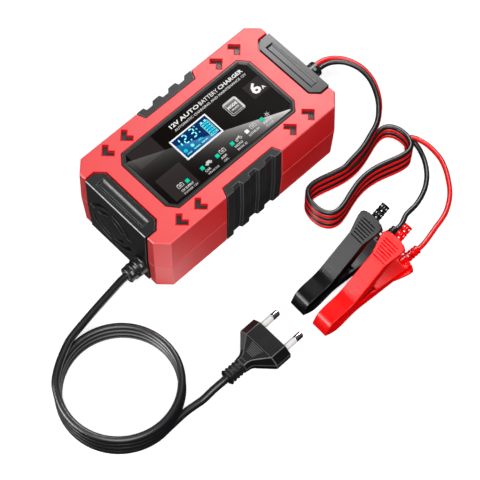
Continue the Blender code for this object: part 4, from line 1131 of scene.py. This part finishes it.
def panel_icons():
    """Small signs beside the lamps: batteries, a car, a motorcycle and a pulse."""
    shells = []
    for x in (-35.5, -2.7, 21.6):
        shells += outline(x - 2.1, -15.4, x + 2.1, -13.0, 0.3)
        shells += [flat(x - 1.4, -13.0, x - 0.7, -12.6), flat(x + 0.7, -13.0, x + 1.4, -12.6),
                   flat(x - 0.9, -14.5, x + 0.9, -13.9)]
    shells += [flat(-16.0, -15.0, -11.4, -14.0), flat(-14.9, -14.0, -12.3, -13.1),
               disc(-14.9, -15.1, 0.55), disc(-12.5, -15.1, 0.55)]
    shells += [disc(8.2, -14.9, 0.85, 0.5), disc(11.2, -14.9, 0.85, 0.5),
               flat(8.6, -14.4, 10.8, -13.7), flat(10.2, -13.7, 11.2, -13.2)]
    shells += [disc(32.9, -14.2, 0.95, 0.55)]
    shells += [flat(32.7 + 1.5 * c, -14.35 + 1.5 * s, 33.1 + 1.5 * c, -14.05 + 1.5 * s)
               for c, s in circle(6)]
    return shells


SEGMENTS = {"a": ((0, 2), (1, 2)), "b": ((1, 2), (1, 1)), "c": ((1, 1), (1, 0)),
            "d": ((1, 0), (0, 0)), "e": ((0, 0), (0, 1)), "f": ((0, 1), (0, 2)),
            "g": ((0, 1), (1, 1))}
DIGITS = {"1": "bc", "2": "abged", "3": "abgcd"}


def segment_shells(digit, x, y, width, height):
    """Seven-segment bars with pointed ends; the digit leans a little."""
    bar, lean = 0.85, 0.08
    shells = []
    for key in DIGITS[digit]:
        (u0, v0), (u1, v1) = SEGMENTS[key]
        a = Vector((u0 * width, v0 * height / 2))
        b = Vector((u1 * width, v1 * height / 2))
        run = (b - a).normalized()
        a, b = a + run * bar * 0.35, b - run * bar * 0.35
        side = Vector((-run.y, run.x)) * bar / 2
        flat_points = [a, a + side + run * bar / 2, b + side - run * bar / 2, b,
                       b - side - run * bar / 2, a - side + run * bar / 2]
        rings = [[(x + p.x + lean * p.y, y + p.y, z) for p in flat_points]
                 for z in (PRINT_Z, PRINT_Z + PRINT_THICKNESS)]
        shells.append(shell(rings))
    return shells


def display_signs():
    bright = []
    for digit in (("1", -19.0, 3.6, 2.4, 5.4), ("2", -14.1, 3.5, 2.6, 5.4),
                  ("3", -8.4, 3.5, 2.8, 5.6)):
        bright += segment_shells(*digit)
    bright += [disc(-10.3, 3.4, 0.5), disc(-12.4, 0.4, 0.75), disc(-12.4, 0.4, 1.15, 0.95)]
    bright += [text_shell(sign, -3.9, y, 1.1, 1.1, 0.02)
               for sign, y in (("V", 8.4), ("%", 6.2), ("A", 3.6))]
    bright += outline(-0.2, -2.9, 5.3, 7.2, 0.28)
    bright += [flat(0.4, 7.2, 1.9, 8.3), flat(3.3, 7.2, 4.7, 8.3)]
    for k in range(5):
        bright.append(flat(0.45, -2.3 + 1.85 * k, 1.0, -1.1 + 1.85 * k))
        bright.append(flat(4.1, -2.3 + 1.85 * k, 4.65, -1.1 + 1.85 * k))
    bright += [text_shell(t, x, -2.6, w, 0.85, 0.03)
               for t, x, w in (("COLD", -18.6, 3.4), ("NORMAL", -13.2, 4.6), ("REPAIR", -7.2, 4.6))]
    join("display_signs", bright, "segment", slot="lcd_glass")
    dim = [flat(1.25, -2.3 + 1.85 * k, 3.85, -0.9 + 1.85 * k) for k in range(5)]
    dim += [disc(-17.7, 0.3, 1.2, 0.3), disc(-17.7, 0.3, 0.2)]
    dim += [flat(-8.1, -0.2, -4.6, 0.5), flat(-7.4, 0.5, -5.4, 1.1)]
    join("display_fill", dim, "segment_blue", slot="lcd_glass")


# ------------------------------------------------------------------ arrowhead openings and end caps
CHEVRON_ARM, CHEVRON_WIDTH = 6.6, 2.8
CHEVRON_X, CHEVRON_Y = (39.8, 54.4), 31.0
ROOF_Z = 53.6
LIP = ((0.0, -0.4), (0.0, -0.04), (0.1, 0.03), (0.55, 0.03), (0.65, -0.05), (0.3, -0.3))


def chevron(cx, cy, point):
    """The opening's outline: an arrowhead of two arms at 45 degrees, its tip at (cx, cy)."""
    reach, back = CHEVRON_ARM / sqrt(2), CHEVRON_WIDTH / sqrt(2)
    outline = [(0, 0), (reach, reach), (reach + back, reach - back), (2 * back, 0),
               (reach + back, back - reach), (reach, -reach)]
    return [(cx - point * x, cy + y) for x, y in outline]


def grown(outline, distance):
    """The outline moved outward by a distance, its corners kept sharp."""
    area = sum(x0 * y1 - x1 * y0 for (x0, y0), (x1, y1) in zip(outline, outline[1:] + outline[:1]))
    turn = 1 if area > 0 else -1
    points = [Vector(p) for p in outline]
    moved = []
    for before, here, after in zip(points[-1:] + points[:-1], points, points[1:] + points[:1]):
        normals = [Vector((run.y, -run.x)) * turn
                   for run in ((here - before).normalized(), (after - here).normalized())]
        moved.append(here + (normals[0] + normals[1]) * distance / (1 + normals[0].dot(normals[1])))
    return moved


def opening_lips():
    """A deep red lip with little shine round each arrowhead opening, painted shade along its edge;
    LIP holds (distance outward, height) pairs.
    """
    shells = []
    for sx in (-1, 1):
        for sy in (-1, 1):
            for reach in CHEVRON_X:
                shape = chevron(sx * reach, sy * CHEVRON_Y, sx)
                shells.append(shell([[(p.x, p.y, ROOF_Z + h) for p in grown(shape, d)]
                                     for d, h in LIP], closed=True))
    join("opening_lips", shells, "painted_shade_lip", slot="red_shell")


def cap_highlights():
    """Painted highlights on the end caps: pale lines on the recess walls that face the mains end,
    and on the upper edge of the mains end's cap."""
    shells = []
    for high, low in ((-64.0, -65.4), (69.7, 68.3)):
        top, bottom = Vector((high, 0, ROOF_Z)), Vector((low, 0, ROOF_Z - 1.2))
        out = Vector((top.z - bottom.z, 0, bottom.x - top.x)).normalized()
        out = out if out.z > 0 else -out
        section = [top.lerp(bottom, share) + out * lift
                   for share, lift in ((0.12, -0.05), (0.12, 0.04), (0.72, 0.04), (0.72, -0.05))]
        shells.append(shell([[(q.x, y, q.z) for q in section] for y in (-18.4, 18.4)]))
    join("recess_highlights", shells, "painted_highlight_strip", slot="black_shell")
    edge_x = max(abs(v.co.x) for v in NODES["ac_end_cap"].data.vertices
                 if v.co.z > (ROOF_Z - 0.1) * MM) / MM
    rings = [[(-edge_x + 0.2 + 0.36 * c, y, ROOF_Z - 0.2 + 0.36 * s) for c, s in circle(8)]
             for y in (-24.9, 24.9)]
    loft("cap_edge_highlight", rings, "rubbed_edge", slot="black_shell")


cords()
opening_lips()
cap_highlights()
case_boots()
plug_body()
plug_ridges()
plug_boot()
plug_pins()
clamp("black", "minus")
clamp("red", "plus")
push_button()
panel_print()
display_signs()

# ------------------------------------------------------------------ carried-over CAD nodes
ROUNDED = {node: width for width, nodes in (
    (0.55, "ac_end_cap dc_end_cap"), (0.45, "top_cover bottom_cover"), (0.4, "transformer"),
    (0.2, "side_grip_front side_grip_rear fan_frame mains_capacitor lcd_module"),
    (0.15, "output_capacitor power_transistor"), (0.1, "fan_rotor heatsink tact_switch"),
    (0.08, "display_panel main_board display_board"), (0.06, "lcd_window"))
    for node in nodes.split()}
# Looks for the rounded edges: painted highlights, and on the red covers also painted shade round
# the openings.
EDGED = {"top_cover": "red_edge", "bottom_cover": "red_edge", "ac_end_cap": "black_edge",
         "dc_end_cap": "black_edge", "side_grip_front": "grip_edge", "side_grip_rear": "grip_edge"}
RELOOKED = {"front_bezel": "bezel_shell", "side_grip_front": "grip_shell",
            "side_grip_rear": "grip_shell"}


def dress_nodes():
    """Give every shown CAD node its material, and rounded edges where they'd be seen."""
    for part in frame["record"]["subparts"]:
        node = NODES[part["node"]]
        node.data.materials.clear()
        node.data.materials.append(LOOKS[RELOOKED.get(part["node"], part["material_slot"])])
        if not node.hide_render:
            weld = node.modifiers.new("Weld", "WELD")     # merges the CAD mesh's split corners
            weld.merge_threshold = 0.000002
            rounding(node, ROUNDED.get(part["node"], 0.12), 30.0, EDGED.get(part["node"]))


dress_nodes()


# ------------------------------------------------------------------ stage
def area_light(name, place_mm, aim_mm, size_mm, radiance, glossy_only=False):
    """A soft rectangular light of a given brightness."""
    data = bpy.data.lights.new(name, "AREA")
    data.shape = "RECTANGLE"
    data.size, data.size_y = (s * MM for s in size_mm)
    data.energy = radiance * pi * data.size * data.size_y
    light = bpy.data.objects.new(name, data)
    bpy.context.scene.collection.objects.link(light)
    light.location = Vector(place_mm) * MM
    toward = (Vector(aim_mm) - Vector(place_mm)).normalized()
    light.rotation_euler = toward.to_track_quat("-Z", "Y").to_euler()
    light.visible_diffuse = not glossy_only


def stage():
    size = 3000.0
    verts = [(-size, -size, 0), (size, -size, 0), (size, size, 0), (-size, size, 0)]
    mesh = bpy.data.meshes.new("floor")
    mesh.from_pydata([Vector(v) * MM for v in verts], [], [(0, 1, 2, 3)])
    mesh.materials.append(floor_look())
    floor = bpy.data.objects.new("floor", mesh)
    bpy.context.scene.collection.objects.link(floor)

    world = bpy.data.worlds.new("studio")
    world.use_nodes = True
    world.node_tree.nodes["Background"].inputs["Color"].default_value = (1.0, 1.0, 1.0, 1.0)
    tree = world.node_tree
    path = tree.nodes.new("ShaderNodeLightPath")
    level = tree.nodes.new("ShaderNodeMapRange")
    level.inputs["To Min"].default_value, level.inputs["To Max"].default_value = WORLD_LEVELS
    tree.links.new(path.outputs["Is Glossy Ray"], level.inputs["Value"])
    tree.links.new(level.outputs["Result"], tree.nodes["Background"].inputs["Strength"])
    bpy.context.scene.world = world
    for name, place, aim, size, radiance in (
            ("key", (-480, -520, 1440), (0, -30, 0), (1000, 1000), 8.2),
            ("end_soft", (330, 190, 430), (60, 0, 50), (260, 260), 16.0),
            ("left_high", (-620, 130, 470), (0, -110, 20), (460, 200), 7.0),
            ("left_low", (-740, 240, 265), (0, -60, 30), (520, 210), 24.0),
            ("front_soft", (-550, -565, 610), (-60, -105, 10), (150, 150), 9.0),
            ("top_soft", (10, 190, 850), (30, -110, 20), (160, 300), 1.6)):
        area_light(name, place, aim, size, radiance, glossy_only=name != "key")
    bpy.context.scene.view_settings.view_transform = "Standard"


def camera():
    data = bpy.data.cameras.new("camera")
    data.lens, data.sensor_width = CAMERA_LENS, 36.0
    data.clip_start, data.clip_end = 0.01, 20.0
    made = bpy.data.objects.new("camera", data)
    bpy.context.scene.collection.objects.link(made)
    az, el = radians(CAMERA_AZIMUTH), radians(CAMERA_ELEVATION)
    back = Vector((sin(az) * cos(el), -cos(az) * cos(el), sin(el)))
    turn = (-back).to_track_quat("-Z", "Y").to_matrix().to_4x4()
    place = (Vector(CAMERA_TARGET) + CAMERA_DISTANCE * back) * MM
    made.matrix_world = (Matrix.Translation(place) @ turn
                         @ Matrix.Rotation(radians(CAMERA_ROLL), 4, "Z"))
    bpy.context.scene.camera = made


stage()
camera()
